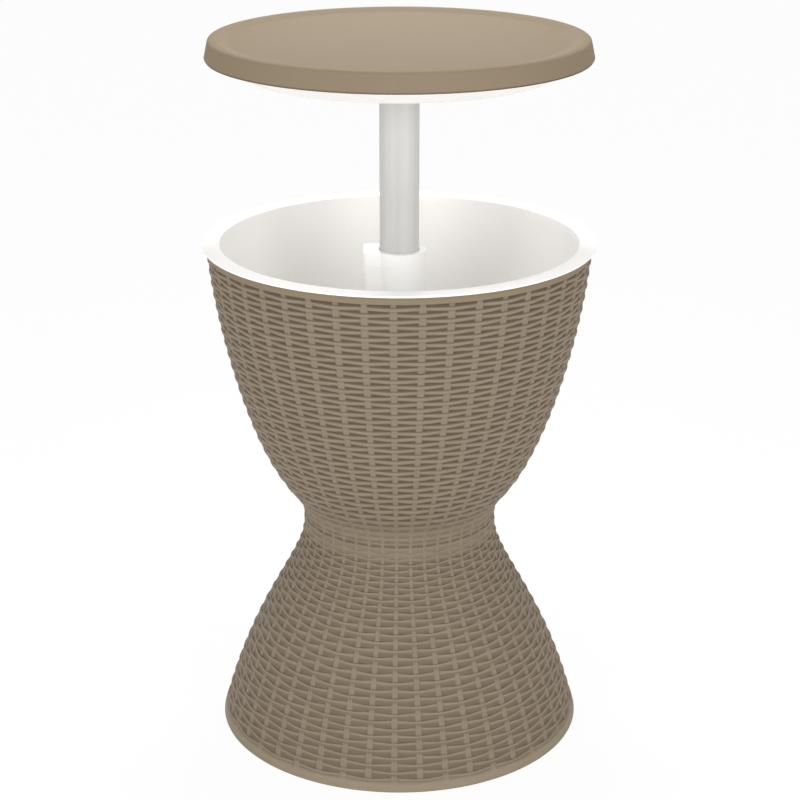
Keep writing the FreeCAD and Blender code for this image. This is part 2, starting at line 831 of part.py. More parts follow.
def make_locking_collar():
    """White collar on the sleeve's top, with the pocket for the button and a seat for the cover."""
    outer = fused(
        cylinder(collar_radius, collar_bottom_height, collar_top_height),
        lobe(0, lobe_bottom_height, collar_top_height),
    )
    bore = cylinder(collar_bore, collar_bottom_height - OVER, cavity_top)
    mast_way = cylinder(mast_hole, cavity_top - OVER, collar_top_height + OVER)
    half = S.button_width / 2 + S.seat_gap
    rise = S.button_height / 2 + S.seat_gap
    pocket = box(
        (-lobe_reach - OVER, -half, latch_middle - rise),
        (-collar_radius, half, latch_middle + rise),
    )
    lug_half = S.lug_width / 2 + S.seat_gap
    window = box(
        (-collar_radius - OVER, -lug_half, brake_bottom),
        (-collar_bore + OVER, lug_half, brake_top),
    )
    core = fused(
        cylinder(collar_radius - S.cover_wall, cover_bottom - OVER, collar_top_height - S.cover_wall),
        lobe(-S.cover_wall, cover_bottom - OVER, collar_top_height - S.cover_wall),
    )
    seat = cut(left_half(cover_bottom, collar_top_height + OVER), core)
    screw_holes = []
    for _, _, degrees in around(COLLAR_SCREW_COUNT, COLLAR_SCREW_ANGLE, 0):
        hole = rod(S.collar_screw_radius + S.thread_gap, collar_bore - OVER, collar_radius + OVER,
                   degrees, collar_screw_height)
        screw_holes.append(hole)
    return keep(cut(outer, bore, mast_way, pocket, window, seat, *screw_holes), "locking_collar")


def make_latch_cover():
    """Cap over the collar's -X half: it ends in a step at the middle."""
    top = collar_top_height + S.cover_stand_out
    outer = fused(
        cylinder(collar_radius + S.cover_stand_out, cover_bottom, top),
        lobe(S.cover_stand_out, cover_bottom, top),
    )
    inset = S.thread_gap - S.cover_wall
    inner = fused(
        cylinder(collar_radius + inset, cover_bottom - OVER, collar_top_height + inset),
        lobe(inset, cover_bottom - OVER, collar_top_height + inset),
    )
    mast_way = cylinder(mast_hole, cover_bottom - OVER, top + OVER)
    half = common(outer, left_half(cover_bottom, top + OVER))
    return keep(cut(half, inner, mast_way), "latch_cover")


def make_collar_screws():
    """Three short screws that hold the collar on the sleeve."""
    screws = []
    for _, _, degrees in around(COLLAR_SCREW_COUNT, COLLAR_SCREW_ANGLE, 0):
        shank = rod(S.collar_screw_radius, sleeve_bore + S.hole_gap,
                    collar_radius + S.collar_screw_head_height / 2, degrees, collar_screw_height)
        head = rod(S.collar_screw_head_radius, collar_radius, collar_radius + S.collar_screw_head_height,
                   degrees, collar_screw_height)
        screws.append(fused(shank, head))
    keep(group_of(screws), "collar_screws")


def make_release_button():
    """Thumb button with three grip ribs and a square stem into the brake ring."""
    back = S.button_thickness - lobe_reach
    half = S.button_width / 2
    low = latch_middle - S.button_height / 2
    high = latch_middle + S.button_height / 2
    plate = box((-lobe_reach, -half, low), (back, half, high))
    stem = box(
        (back - OVER, -S.button_stem / 2, latch_middle - S.button_stem / 2),
        (-lug_hole_end - S.seat_gap, S.button_stem / 2, latch_middle + S.button_stem / 2),
    )
    ribs = []
    rib_half = half - S.button_rib_margin
    for step in (-1, 0, 1):
        rib_low = latch_middle + S.button_rib_pitch * step - S.button_rib_height / 2
        ribs.append(box(
            (-lobe_reach - S.button_rib_depth, -rib_half, rib_low),
            (OVER - lobe_reach, rib_half, rib_low + S.button_rib_height),
        ))
    return keep(fused(plate, stem, *ribs), "release_button")


def make_brake_ring():
    """Ring round the mast: the button pushes it, and its far side carries the pad."""
    near_clear = S.hole_gap + S.press_travel + S.thread_gap
    offset = (near_clear - S.brake_clear) / 2
    inner = S.mast_radius + (near_clear + S.brake_clear) / 2
    ring = tube(inner, inner + S.brake_ring_wall, brake_bottom, brake_top, -offset)
    side = S.lug_width / 2
    lug = box(
        (-lug_reach, -side, brake_bottom + S.lug_margin),
        (-inner - offset - S.brake_ring_wall / 2, side, brake_top - S.lug_margin),
    )
    hole_half = S.button_stem / 2 + S.thread_gap
    hole = box(
        (-lug_reach - OVER, -hole_half, latch_middle - hole_half),
        (-lug_hole_end, hole_half, latch_middle + hole_half),
    )
    return keep(cut(fused(ring, lug), hole), "brake_ring")


def make_brake_pad():
    """Friction pad on the ring's +X side, against the mast."""
    low = brake_bottom + S.lug_margin
    high = brake_top - S.lug_margin
    outer = cylinder(S.mast_radius + S.brake_clear - S.thread_gap, low, high)
    bind(outer, "Angle", S.pad_spread)
    turn(outer, V(0, 0, 1), -S.pad_spread.value / 2)
    place(outer, 0, 0, low)
    bore = cylinder(S.mast_radius + S.running_gap, low - OVER, high + OVER)
    return keep(cut(outer, bore), "brake_pad")


def arc_from(start, heading, end):
    """The arc that leaves its start along a heading and reaches its end."""
    chord = end - start
    side = heading.cross(chord).cross(heading).normalize()
    radius = chord.dot(chord) / (2 * chord.dot(side))
    centre = start + side * radius
    middle = centre + (start + end - centre * 2).normalize() * radius
    return Part.Arc(start, middle, end).toShape()


def two_arcs(start, start_heading, end, end_heading):
    """Two arcs that meet smoothly and keep the headings at both ends."""
    chord = end - start
    spread = 2 * (1 - start_heading.dot(end_heading))
    along = 2 * chord.dot(start_heading + end_heading)
    reach = (math.sqrt(along * along + 4 * spread * chord.dot(chord)) - along) / (2 * spread)
    near = start + start_heading * reach
    far = end - end_heading * reach
    meeting = (near + far) * 0.5
    meeting_heading = (far - near).normalize()
    return [arc_from(start, start_heading, meeting), arc_from(meeting, meeting_heading, end)]


def make_button_spring():
    """Short coil spring between the button's back and the collar's wall, as arcs of under a quarter turn."""
    clear = S.spring_wire / 2 + S.thread_gap
    low = S.button_thickness - lobe_reach + clear
    high = -collar_radius - clear
    radius = S.spring_radius.value
    steps = round(4 * S.spring_turns.value)
    step_angle = 2 * math.pi * S.spring_turns.value / steps
    step_advance = (high - low).value / steps

    def point(step):
        angle = step_angle * step
        across = V(0, math.cos(angle), math.sin(angle)) * radius
        return V(low.value + step_advance * step, 0, latch_middle.value) + across

    def heading(step):
        angle = step_angle * step
        return V(step_advance, -radius * step_angle * math.sin(angle),
                 radius * step_angle * math.cos(angle)).normalize()

    edges = []
    for step in range(steps):
        edges += two_arcs(point(step), heading(step), point(step + 1), heading(step + 1))
    section = Part.Circle(point(0), heading(0), S.spring_wire.value / 2).toShape()
    pipe = Part.BRepOffsetAPI.MakePipeShell(Part.Wire(edges))
    pipe.add(Part.Wire([section]))
    pipe.build()
    pipe.makeSolid()
    return shaped("button_spring", pipe.shape())


# Tabletop

def make_tabletop_shell():
    """Dished top with a rounded lip and a slanted skirt, and bosses on its underside."""
    edge = tabletop_edge_radius
    wall = S.tabletop_wall
    lip_round = S.dish_depth
    lip_outer = edge - lip_round
    lip_inner = lip_outer - S.lip_width
    slope_foot = lip_inner - S.dish_depth
    skirt_top = S.tabletop_height - lip_round
    skirt_turn = skirt_bottom_height + S.skirt_round
    body = revolved((
        (0, tabletop_underside),
        (edge - wall, tabletop_underside),
        (skirt_radius - wall, skirt_turn),
        (skirt_radius - wall, skirt_bottom_height),
        (skirt_radius - S.skirt_round, skirt_bottom_height, S.skirt_round),
        (skirt_radius, skirt_turn),
        (edge, skirt_top, lip_round),
        (lip_outer, S.tabletop_height),
        (lip_inner, S.tabletop_height),
        (slope_foot, dish_height),
        (0, dish_height),
    ))
    bosses = []
    holes = []
    panel_boss_bottom = panel_bottom_height + S.panel_wall + S.seat_gap
    for x, y, _ in around(PANEL_SCREW_COUNT, PANEL_SCREW_ANGLE, panel_screw_circle):
        bosses.append(cylinder(S.panel_boss_radius, panel_boss_bottom, tabletop_underside + OVER, x, y))
        holes.append(cylinder(S.panel_screw_radius + S.thread_gap, panel_boss_bottom - OVER,
                              panel_boss_bottom + S.head_boss_length, x, y))
    for x, y, _ in around(HEAD_SCREW_COUNT, HEAD_SCREW_ANGLE, head_boss_circle):
        bosses.append(cylinder(S.panel_boss_radius, head_flange_top, tabletop_underside + OVER, x, y))
        holes.append(cylinder(S.head_screw_radius + S.thread_gap, head_flange_top - OVER,
                              tabletop_underside - wall / 2, x, y))
    return keep(cut(fused(body, *bosses), *holes), "tabletop_shell")


def make_underside_panel():
    """White plug under the top: it drops into the bucket's mouth, with a recess for the collar."""
    wall = S.panel_wall
    low = panel_bottom_height
    slope_top = low + S.panel_slope_height
    flange = panel_flange_height
    flange_radius = skirt_radius - S.tabletop_wall - S.panel_flange_gap - wall
    slope_in = S.panel_slope_inset
    body = revolved((
        (head_radius + S.hole_gap, panel_recess_roof),
        (recess_radius, panel_recess_roof),
        (recess_radius, low),
        (panel_foot_radius, low),
        (panel_plug_radius, slope_top),
        (panel_plug_radius, flange),
        (flange_radius, flange),
        (flange_radius, flange + wall),
        (panel_plug_radius - wall, flange + wall),
        (panel_plug_radius - wall, slope_top + slope_in),
        (panel_foot_radius - slope_in, low + wall),
        (recess_radius + wall, low + wall),
        (recess_radius + wall, panel_recess_roof + wall),
        (head_radius + S.hole_gap, panel_recess_roof + wall),
    ))
    holes = []
    for x, y, _ in around(PANEL_SCREW_COUNT, PANEL_SCREW_ANGLE, panel_screw_circle):
        holes.append(cylinder(S.panel_screw_radius + S.thread_gap, low - OVER, low + wall + OVER, x, y))
    return keep(cut(body, *holes), "underside_panel")


def make_panel_screws():
    """Six screws that hold the underside panel to the top's bosses."""
    screws = []
    low = panel_bottom_height
    tip = low + S.panel_wall + S.head_boss_length - S.seat_gap
    for x, y, _ in around(PANEL_SCREW_COUNT, PANEL_SCREW_ANGLE, panel_screw_circle):
        head = cylinder(S.panel_screw_head_radius, low - S.panel_screw_head_height, low, x, y)
        shank = cylinder(S.panel_screw_radius, low - S.panel_screw_head_height / 2, tip, x, y)
        screws.append(fused(head, shank))
    keep(group_of(screws), "panel_screws")


def make_lid_insulation():
    """Foam disc between the underside panel and the top, with holes for the bosses."""
    gap = S.seat_gap
    low = panel_bottom_height + S.panel_wall + gap
    high = tabletop_underside - gap
    slope_top = panel_bottom_height + S.panel_slope_height + S.panel_wall
    inner = recess_radius + S.panel_wall + gap
    outer = panel_plug_radius - S.panel_wall - gap - gap
    foot = panel_foot_radius - S.panel_wall - gap - gap
    body = revolved((
        (inner, low),
        (foot, low),
        (outer, slope_top),
        (outer, high),
        (inner, high),
    ))
    holes = []
    for x, y, _ in around(PANEL_SCREW_COUNT, PANEL_SCREW_ANGLE, panel_screw_circle):
        holes.append(cylinder(S.panel_boss_radius + gap, low - OVER, high + OVER, x, y))
    return keep(cut(body, *holes), "lid_insulation")


def make_mast_head():
    """Hub and flange that carry the tabletop on the mast."""
    body = revolved((
        (head_bore, head_bottom),
        (head_radius, head_bottom),
        (head_radius, head_flange_bottom),
        (head_flange_radius, head_flange_bottom),
        (head_flange_radius, head_flange_top),
        (head_radius, head_flange_top),
        (head_radius, mast_top),
        (head_bore, mast_top),
    ))
    holes = []
    for x, y, _ in around(HEAD_SCREW_COUNT, HEAD_SCREW_ANGLE, head_boss_circle):
        holes.append(cylinder(S.head_screw_radius + S.thread_gap, head_flange_bottom - OVER,
                              head_flange_top + OVER, x, y))
    reach = head_radius + OVER
    holes.append(rod(S.mast_pin_radius + S.thread_gap, -reach, reach, 0.0, mast_pin_height))
    return keep(cut(body, *holes), "mast_head")


def make_mast_head_fixings():
    """Four screws up into the top's bosses, and a cross pin through hub and mast."""
    screws = []
    tip = tabletop_underside - S.tabletop_wall / 2 - S.seat_gap
    for x, y, _ in around(HEAD_SCREW_COUNT, HEAD_SCREW_ANGLE, head_boss_circle):
        low = head_flange_bottom - S.head_screw_head_height
        head = cylinder(S.head_screw_head_radius, low, head_flange_bottom, x, y)
        shank = cylinder(S.head_screw_radius, head_flange_bottom - S.head_screw_head_height / 2, tip, x, y)
        screws.append(fused(head, shank))
    keep(group_of(screws), "mast_head_screws")
    keep(rod(S.mast_pin_radius, -head_radius, head_radius, 0.0, mast_pin_height), "mast_pin")


make_base_shell()
make_bowl_shell()
make_bucket_liner()
make_bucket_insulation()
make_mast_sleeve()
make_sleeve_fixings()
make_waist_screws()
make_drain()
make_plug()
make_guide_bush()
make_mast_tube()
make_mast_guide()
make_locking_collar()
make_latch_cover()
make_collar_screws()
make_release_button()
make_brake_ring()
make_brake_pad()
make_button_spring()
make_tabletop_shell()
make_underside_panel()
make_panel_screws()
make_lid_insulation()
make_mast_head()
make_mast_head_fixings()

doc.recompute()

failed = [item.Label for item in doc.Objects if "Invalid" in item.State or "Error" in item.State]
if failed:
    raise RuntimeError("these objects failed: " + ", ".join(failed))
for node in nodes:
    shape = node.Shape
    if shape.isNull() or not shape.isValid() or not shape.Solids:
        raise RuntimeError(node.Label + " has no valid solid")
for node in nodes:
    node.Shape.exportStep("parts/" + node.Label + ".step")
    box_of = node.Shape.BoundBox
    print("%-18s solids %d volume %.0f z %.1f to %.1f" % (
        node.Label, len(node.Shape.Solids), node.Shape.Volume, box_of.ZMin, box_of.ZMax))
litres = bowl_form(liner_inner_inset.value, bucket_floor_height.value, rim_top.value).Volume / 1e6
print("bucket volume %.1f litres, nodes %d" % (litres, len(nodes)))
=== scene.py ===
import math
from collections import namedtuple

import bmesh
import bpy
import numpy as np
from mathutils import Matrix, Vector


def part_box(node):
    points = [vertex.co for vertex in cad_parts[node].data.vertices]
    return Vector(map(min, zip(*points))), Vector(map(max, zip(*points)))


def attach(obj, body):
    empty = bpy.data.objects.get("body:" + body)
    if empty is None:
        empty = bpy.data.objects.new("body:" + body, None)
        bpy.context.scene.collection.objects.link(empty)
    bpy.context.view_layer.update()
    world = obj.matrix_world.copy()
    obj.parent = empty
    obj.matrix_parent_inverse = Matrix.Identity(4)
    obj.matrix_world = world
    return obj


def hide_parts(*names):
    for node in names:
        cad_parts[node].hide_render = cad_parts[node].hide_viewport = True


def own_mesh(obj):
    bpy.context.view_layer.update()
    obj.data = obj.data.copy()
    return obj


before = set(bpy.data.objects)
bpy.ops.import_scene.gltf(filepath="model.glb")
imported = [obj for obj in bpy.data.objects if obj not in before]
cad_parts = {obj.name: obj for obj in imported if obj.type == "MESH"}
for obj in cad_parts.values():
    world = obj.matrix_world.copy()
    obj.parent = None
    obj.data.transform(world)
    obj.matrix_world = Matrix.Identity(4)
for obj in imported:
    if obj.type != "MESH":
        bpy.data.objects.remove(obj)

# Round cooler side table in imitation rattan, in metres, Z up, the foot's centre at the origin.
# The two shells carry a moulded plain weave: rows of weavers run round them, and 44 upright stakes
# of two strands each run from the rim to the floor.

MM = 0.001
TURN = 2 * math.pi
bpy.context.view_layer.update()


# Heights and radii that come from the frame

MAST_HEAD_FLANGE_TOP = 13.0 * MM  # over the mast head's foot

waist_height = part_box("base_shell")[1].z
rim_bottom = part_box("bowl_shell")[1].z
rim_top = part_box("bucket_liner")[1].z
collar_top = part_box("locking_collar")[1].z
tabletop_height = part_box("tabletop_shell")[1].z
skirt_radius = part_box("tabletop_shell")[1].x
panel_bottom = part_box("underside_panel")[0].z
panel_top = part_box("underside_panel")[1].z
panel_flange_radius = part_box("underside_panel")[1].x
head_flange_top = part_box("mast_head")[0].z + MAST_HEAD_FLANGE_TOP


# Sizes of the shells

FOOT_RADIUS = 201.5 * MM
WAIST_RADIUS = 106.5 * MM
BOWL_RADIUS = 204.8 * MM
BOWL_TOP = 544.0 * MM
COVE_FLARE = 3.7 * MM
COVE_HOLLOW = 0.9 * MM
RIM_EDGE = 2.2 * MM
RIM_OVERHANG_RADIUS = 193.4 * MM
RIM_SLACK = 0.1 * MM

# Each outline is a Bezier curve. Its poles are shares of the rise and of the flare.
BOWL_POLES = ((0.0, 0.0), (0.144, 0.0), (0.0, 0.353), (0.595, 0.888), (1.0, 1.0))
BASE_POLES = ((0.0, 0.0), (0.6, 0.402), (0.767, 1.052), (1.0, 1.0))
OUTLINE_POINTS = 1200
COVE_POINTS = 24


# Sizes of the weave: places along a row are shares of the space from one stake to the next, places
# across it are shares of a row, and levels are heights over the weave's middle level.

STAKES = 44
FIRST_STAKE = math.radians(-1.67)
WEAVER_WAVE = 0.9 * MM
SLOT_FLOOR = -1.5 * MM
RELIEF_DEPTH = 2.45 * MM
RELIEF_WALL = 2.65 * MM
RING_ROWS = 11
INNER_ROWS = 9
FOOT_BAND = 6.0 * MM

# Strands: a stake's two lie on each side of its middle, and touch there.
STRAND_PLACE = 0.06
STRAND_HALF_WIDTH = 0.057
STRAND_INNER_SHARE = 0.85
STRAND_LEVEL = -0.1 * MM
STRAND_DIP = 1.1 * MM
STRAND_RISE = 0.5 * MM
NO_STRAND = -1.0

# Where a strand runs through the strips above the weave: its depth, and the offsets from its middle
# between which it gives way to the strip.
STRAND_INSET = 0.9 * MM
STRAND_CUT = (0.9, 1.0)

# Tones: of a strand in its middle, how much painted shade darkens it at its sides and ends, how
# wide and dark the painted shade on a weaver beside a strand is, and where there is no weave.
STRAND_TONE = 0.97
STRAND_HEAD_TONE = 0.85
STRAND_SIDE_PAINTED_SHADE = 0.16
STRAND_END_PAINTED_SHADE = 0.3
PAINTED_SHADE_REACH = 0.06
PAINTED_SHADE_DEPTH = 0.22
PLAIN_TONE = 0.86
BAND_TONE = 1.25


# Outlines

def bezier(poles, foot, head):
    """Points (radius, height) of the outline from foot to head: the poles' sum, each weighted by
    its Bernstein polynomial."""
    share = np.linspace(0.0, 1.0, OUTLINE_POINTS)
    top = len(poles) - 1
    radius = np.zeros(OUTLINE_POINTS)
    height = np.zeros(OUTLINE_POINTS)
    for k, (rise, reach) in enumerate(poles):
        weight = math.comb(top, k) * share**k * (1 - share) ** (top - k)
        radius += weight * (foot[0] + (head[0] - foot[0]) * reach)
        height += weight * (foot[1] + (head[1] - foot[1]) * rise)
    return np.column_stack([radius, height])


def cove_outline():
    """The hollow curve from the weave's top out to the rim: a Bezier curve with three poles, the
    middle one set inwards."""
    start = np.array([BOWL_RADIUS, BOWL_TOP])
    end = np.array([BOWL_RADIUS + COVE_FLARE, rim_top - RIM_EDGE])
    chord = end - start
    inwards = np.array([-chord[1], chord[0]]) / np.hypot(*chord)
    handle = (start + end) / 2 + inwards * COVE_HOLLOW * 2
    share = np.linspace(0.0, 1.0, COVE_POINTS)[:, None]
    return start * (1 - share) ** 2 + handle * 2 * share * (1 - share) + end * share**2


def lengths(line):
    """Distance along a line of points, from its first point to each one."""
    steps = np.hypot(*np.diff(line, axis=0).T)
    return np.concatenate([[0.0], np.cumsum(steps)])


def along(line, distance):
    """Point and outward normal of an outline at each distance from its start, as pairs of radius
    and height: the normal is the heading turned by a quarter."""
    whole = lengths(line)

    def at(pairs):
        return np.column_stack([np.interp(distance, whole, pairs[:, k]) for k in (0, 1)])

    heading = at(np.gradient(line, whole, axis=0))
    heading /= np.hypot(heading[:, 0], heading[:, 1])[:, None]
    return at(line), np.column_stack([-heading[:, 1], heading[:, 0]])


# Both outlines run downwards, so that distances count from a shell's top.
bowl_line = bezier(BOWL_POLES, (WAIST_RADIUS, waist_height), (BOWL_RADIUS, BOWL_TOP))[::-1]
base_line = bezier(BASE_POLES, (FOOT_RADIUS, 0.0), (WAIST_RADIUS, waist_height))[::-1]
bowl_length = lengths(bowl_line)[-1]
base_length = lengths(base_line)[-1]


# Rows of the weave

# Distance down the shell from its top, and the rows' spacing there, in millimetres
BOWL_SPACING = (
    (3, 6.53), (60, 6.7), (110, 6.93), (160, 7.38), (200, 7.83), (230, 8.65), (250, 9.12),
    (270, 11.16), (286, 12.33), (300, 9.47), (312, 5.9),
)
BASE_SPACING = (
    (3, 6.36), (20, 6.08), (50, 6.39), (70, 7.12), (90, 7.96), (120, 8.64), (145, 8.68),
    (170, 8.04), (200, 7.57), (250, 7.89),
)
BOWL_WEAVE_START = 4.2 * MM
BASE_WEAVE_START = 2.3 * MM


def row_edges(spacing, start, end):
    """Where each row begins: one local spacing past the last one, and the last of all at the
    end."""
    places, pitches = np.array(spacing).T * MM
    edges = [start]
    while edges[-1] < end - MM:
        edges.append(edges[-1] + np.interp(edges[-1], places, pitches))
    edges[-1] = end
    return np.array(edges)


# The weave's relief

def ease(value, start, end):
    """0 up to the start, 1 past the end, and a smooth step between: three squares less two
    cubes."""
    share = np.clip((value - start) / (end - start), 0.0, 1.0)
    return share * share * (3 - 2 * share)


BOWL_BACK_START = (-0.06, 0.1)
BOWL_FOOT_PLACE = 0.64
BOWL_FOOT_LAG = 0.06
BOWL_FOOT_BEFORE = 0.2
BOWL_FOOT_AFTER = 0.16
BOWL_CROWN_PLACE = 0.3
BOWL_CROWN_FALL = 0.25 * MM


def bowl_section(share, over):
    """A weaver of the bowl, from where it begins (0) to where the next one does (1): a back that
    steps up at once and rounds off about its foot, later where it lies over a stake, then a slot.
    The back falls from its crown by the square of the distance. Gives height and tone: the tone,
    1 on the back and 0 in the slot, is painted shade in the slot."""
    foot = BOWL_FOOT_PLACE + BOWL_FOOT_LAG * over
    end = ease(share, foot - BOWL_FOOT_BEFORE, foot + BOWL_FOOT_AFTER)
    back = ease(share, *BOWL_BACK_START) * (1 - end)
    crown = BOWL_CROWN_FALL * ((share - BOWL_CROWN_PLACE) / BOWL_CROWN_PLACE) ** 2
    # The tone is the back's share, so the slot gets painted shade.
    return back * (WEAVER_WAVE * over - crown) + (1 - back) * SLOT_FLOOR, back


BASE_RIDGE_START = (-0.03, 0.07)
BASE_RIDGE_END = (0.28, 0.46)
BASE_GROOVE_START = (0.88, 1.0)
BASE_GROOVE_END = (-0.02, 0.05)
BASE_FACE_LEVEL = -0.7 * MM
BASE_FACE_LEAN = 0.5 * MM
# Tones of a base weaver: the ridge's 1 is a painted highlight where it faces the light, and the
# face's lower tone, which falls towards the groove, and the groove's tone are painted shade.
BASE_FACE_TONE = 0.58
BASE_FACE_PAINTED_SHADE = 0.16
BASE_GROOVE_PAINTED_SHADE = 0.25


def base_section(share, over):
    """A weaver of the base: a narrow ridge along its top, then a face that leans in evenly towards
    a groove at its foot. Gives height and tone: a painted highlight on the ridge, and painted
    shade on the face and in the groove."""
    ridge = ease(share, *BASE_RIDGE_START) * (1 - ease(share, *BASE_RIDGE_END))
    groove = np.maximum(1 - ease(share, *BASE_GROOVE_END), ease(share, *BASE_GROOVE_START))
    face = BASE_FACE_LEVEL - BASE_FACE_LEAN * share
    height = (1 - groove) * (WEAVER_WAVE * over + face * (1 - ridge)) + groove * SLOT_FLOOR
    tone = ridge + (BASE_FACE_TONE - BASE_FACE_PAINTED_SHADE * share) * (1 - ridge)
    return height, tone * (1 - groove) + BASE_GROOVE_PAINTED_SHADE * groove


def strand_offset(beside):
    """How far a place is from the middle of its strand: 0 there and 1 at its outer edge. Between a
    stake's two strands it stays under 1, so that they touch."""
    across = beside - STRAND_PLACE
    return np.where(across < 0, -STRAND_INNER_SHARE * across, across) / STRAND_HALF_WIDTH


def weave(stake, weaver, share, pattern):
    """Height of the weave over its middle level, its tone, and whether a stake is on top.

    A weaver lies over a stake where (stake + weaver) is even, and its level swings as the cosine
    of their sum in half turns. A stake is two round strands, which come out between two weavers
    that lie over it, and sink in from the first to the second value of strand_reach, in rows from
    the strand's middle. The surface is the higher of the two. Tone is painted light: 0, painted
    shade, in the slots and 1, a painted highlight, on the crests, with painted shade on a weaver
    just beside a stake that lies over it and on a strand at its sides and where it sinks in.
    """
    over = np.cos(math.pi * (stake + weaver))
    surface, tone = pattern.section(share, over)
    nearest = np.round(stake)
    beside = np.abs(stake - nearest)
    # Painted shade on a weaver just beside a strand that lies over it.
    edge = STRAND_PLACE + STRAND_HALF_WIDTH
    shade = np.clip(1 - (beside - edge) / PAINTED_SHADE_REACH, 0.0, 1.0) * np.clip(-over, 0.0, 1.0)
    tone = tone * (1 - PAINTED_SHADE_DEPTH * shade)
    off_centre = strand_offset(beside)
    bulge = np.sqrt(np.clip(1 - off_centre**2, 0.0, 1.0)) - 1
    reach = np.abs(np.mod(weaver + share - pattern.strand_place + nearest, 2.0) - 1)
    sunk = ease(reach, *pattern.strand_reach)
    strand = STRAND_LEVEL - STRAND_DIP * sunk + STRAND_RISE * bulge
    strand = np.where(off_centre < 1, strand, NO_STRAND)
    on_top = strand > surface
    # Painted shade on a strand at its sides and where it sinks in.
    strand_tone = STRAND_TONE - STRAND_SIDE_PAINTED_SHADE * off_centre**3 - STRAND_END_PAINTED_SHADE * sunk
    return np.maximum(surface, strand), np.where(on_top, strand_tone, tone), on_top


def row_shift(stake, row, dip):
    """How far a row's beginning moves down where its weaver lies over a stake, in rows."""
    return dip * np.cos(math.pi * (stake + row))


# Samples of one stake's space, closer where the shape turns
STAKE_SAMPLES = np.array([
    -0.35, -0.22, -0.16, -0.117, -0.095, -0.06, -0.02, 0.0,
    0.02, 0.06, 0.095, 0.117, 0.16, 0.22, 0.35, 0.5,
])

# The weave of one shell. samples: of one row's height. strand_place: a strand's middle, in its
# row. dip: of row_shift. fade: at each distance down the shell, how much of the weave is left, and
# the tone where it is gone. head and foot: the strips above the first row, from the lowest up, and
# below the last row, each with its distance down the shell, its depth and its tone.
Pattern = namedtuple("Pattern", "section samples strand_place strand_reach dip fade head foot")

BOWL_PATTERN = Pattern(
    section=bowl_section,
    samples=np.array([0.0, 0.05, 0.11, 0.3, 0.5, 0.62, 0.74, 0.88]),
    strand_place=0.33,
    strand_reach=(0.5, 0.72),
    dip=-0.01,
    fade=(
        (0.0, 1.0, PLAIN_TONE), (0.262, 1.0, PLAIN_TONE), (0.28, 0.82, PLAIN_TONE),
        (0.292, 0.6, PLAIN_TONE), (0.3, 0.38, PLAIN_TONE), (0.31, 0.3, PLAIN_TONE),
        (0.318, 0.45, PLAIN_TONE),
    ),
    # The dark tones of the top strips are a painted shadow in the slot under the cove.
    head=(
        (3.0 * MM, 2.3 * MM, 0.0), (1.0 * MM, 2.2 * MM, 0.1), (0.5 * MM, 0.2 * MM, 0.8),
        (0.0, 0.0, 0.9),
    ),
    foot=(),
)
BASE_PATTERN = Pattern(
    section=base_section,
    samples=np.array([0.0, 0.04, 0.09, 0.18, 0.28, 0.4, 0.64, 0.88]),
    strand_place=0.17,
    strand_reach=(0.68, 0.92),
    dip=0.08,
    fade=(
        (0.0, 0.8, PLAIN_TONE), (0.006, 0.4, PLAIN_TONE), (0.014, 0.4, PLAIN_TONE),
        (0.021, 1.0, PLAIN_TONE), (0.2523, 1.0, PLAIN_TONE), (0.254, 0.0, BAND_TONE),
    ),
    # The dark tones of the top strips are painted shade in the groove under the waist's seam.
    head=((1.2 * MM, 1.5 * MM, 0.2), (0.0, 1.0 * MM, 0.4)),
    foot=(
        (base_length - 1.2 * MM, 0.0, BAND_TONE), (base_length - 0.4 * MM, 0.15 * MM, BAND_TONE),
        (base_length, 0.7 * MM, BAND_TONE),
    ),
)


# Mesh building

SHARP_ANGLE = 35.0
FLAT_ANGLE = 0.6
ROUND_SIDES = 352
ARC_STEPS = 6
ARC_MARGIN = 0.35
BEVEL_STEPS = 3
COPY_MERGE = 0.002 * MM


def ring_faces(rows, columns, closed=True):
    """Four-sided faces of a grid that closes round its columns, and round its rows too where
    closed."""
    down = np.arange(rows if closed else rows - 1)[:, None]
    across = np.arange(columns)[None, :]
    below = (down + 1) % rows
    beside = (across + 1) % columns
    corners = (down * columns + across, below * columns + across,
               below * columns + beside, down * columns + beside)
    return np.stack(np.broadcast_arrays(*corners), axis=-1).reshape(-1, 4)


def make_mesh(name, points, *face_sets):
    """A smooth-shaded mesh object from points and sets of faces. The faces of a set have equally
    many corners."""
    corners = np.concatenate([faces.ravel() for faces in face_sets])
    sides = np.concatenate([np.full(len(faces), faces.shape[1]) for faces in face_sets])
    mesh = bpy.data.meshes.new(name)
    mesh.vertices.add(len(points))
    mesh.vertices.foreach_set("co", np.ascontiguousarray(points, np.float32).ravel())
    mesh.loops.add(len(corners))
    mesh.loops.foreach_set("vertex_index", corners.astype(np.int32))
    mesh.polygons.add(len(sides))
    mesh.polygons.foreach_set("loop_start", (np.cumsum(sides) - sides).astype(np.int32))
    mesh.polygons.foreach_set("use_smooth", np.ones(len(sides), bool))
    mesh.update(calc_edges=True)
    mesh.validate()
    piece = bpy.data.objects.new(name, mesh)
    bpy.context.scene.collection.objects.link(piece)
    return piece


def give(piece, name, values):
    """Stores a number for each point of a mesh, for its material to read."""
    layer = piece.data.attributes.new(name, "FLOAT", "POINT")
    layer.data.foreach_set("value", np.ascontiguousarray(values, np.float32).ravel())


def reshape(piece, work):
    """Runs one step of mesh work on a piece."""
    shape = bmesh.new()
    shape.from_mesh(piece.data)
    work(shape)
    shape.to_mesh(piece.data)
    shape.free()


def face_outwards(piece):
    """Recalculates the normals of a closed mesh so that every face points out of it."""
    reshape(piece, lambda shape: bmesh.ops.recalc_face_normals(shape, faces=shape.faces))


def merge_points(piece, distance):
    """Joins the points of a mesh that lie within a distance of each other."""
    reshape(piece, lambda shape: bmesh.ops.remove_doubles(shape, verts=shape.verts, dist=distance))


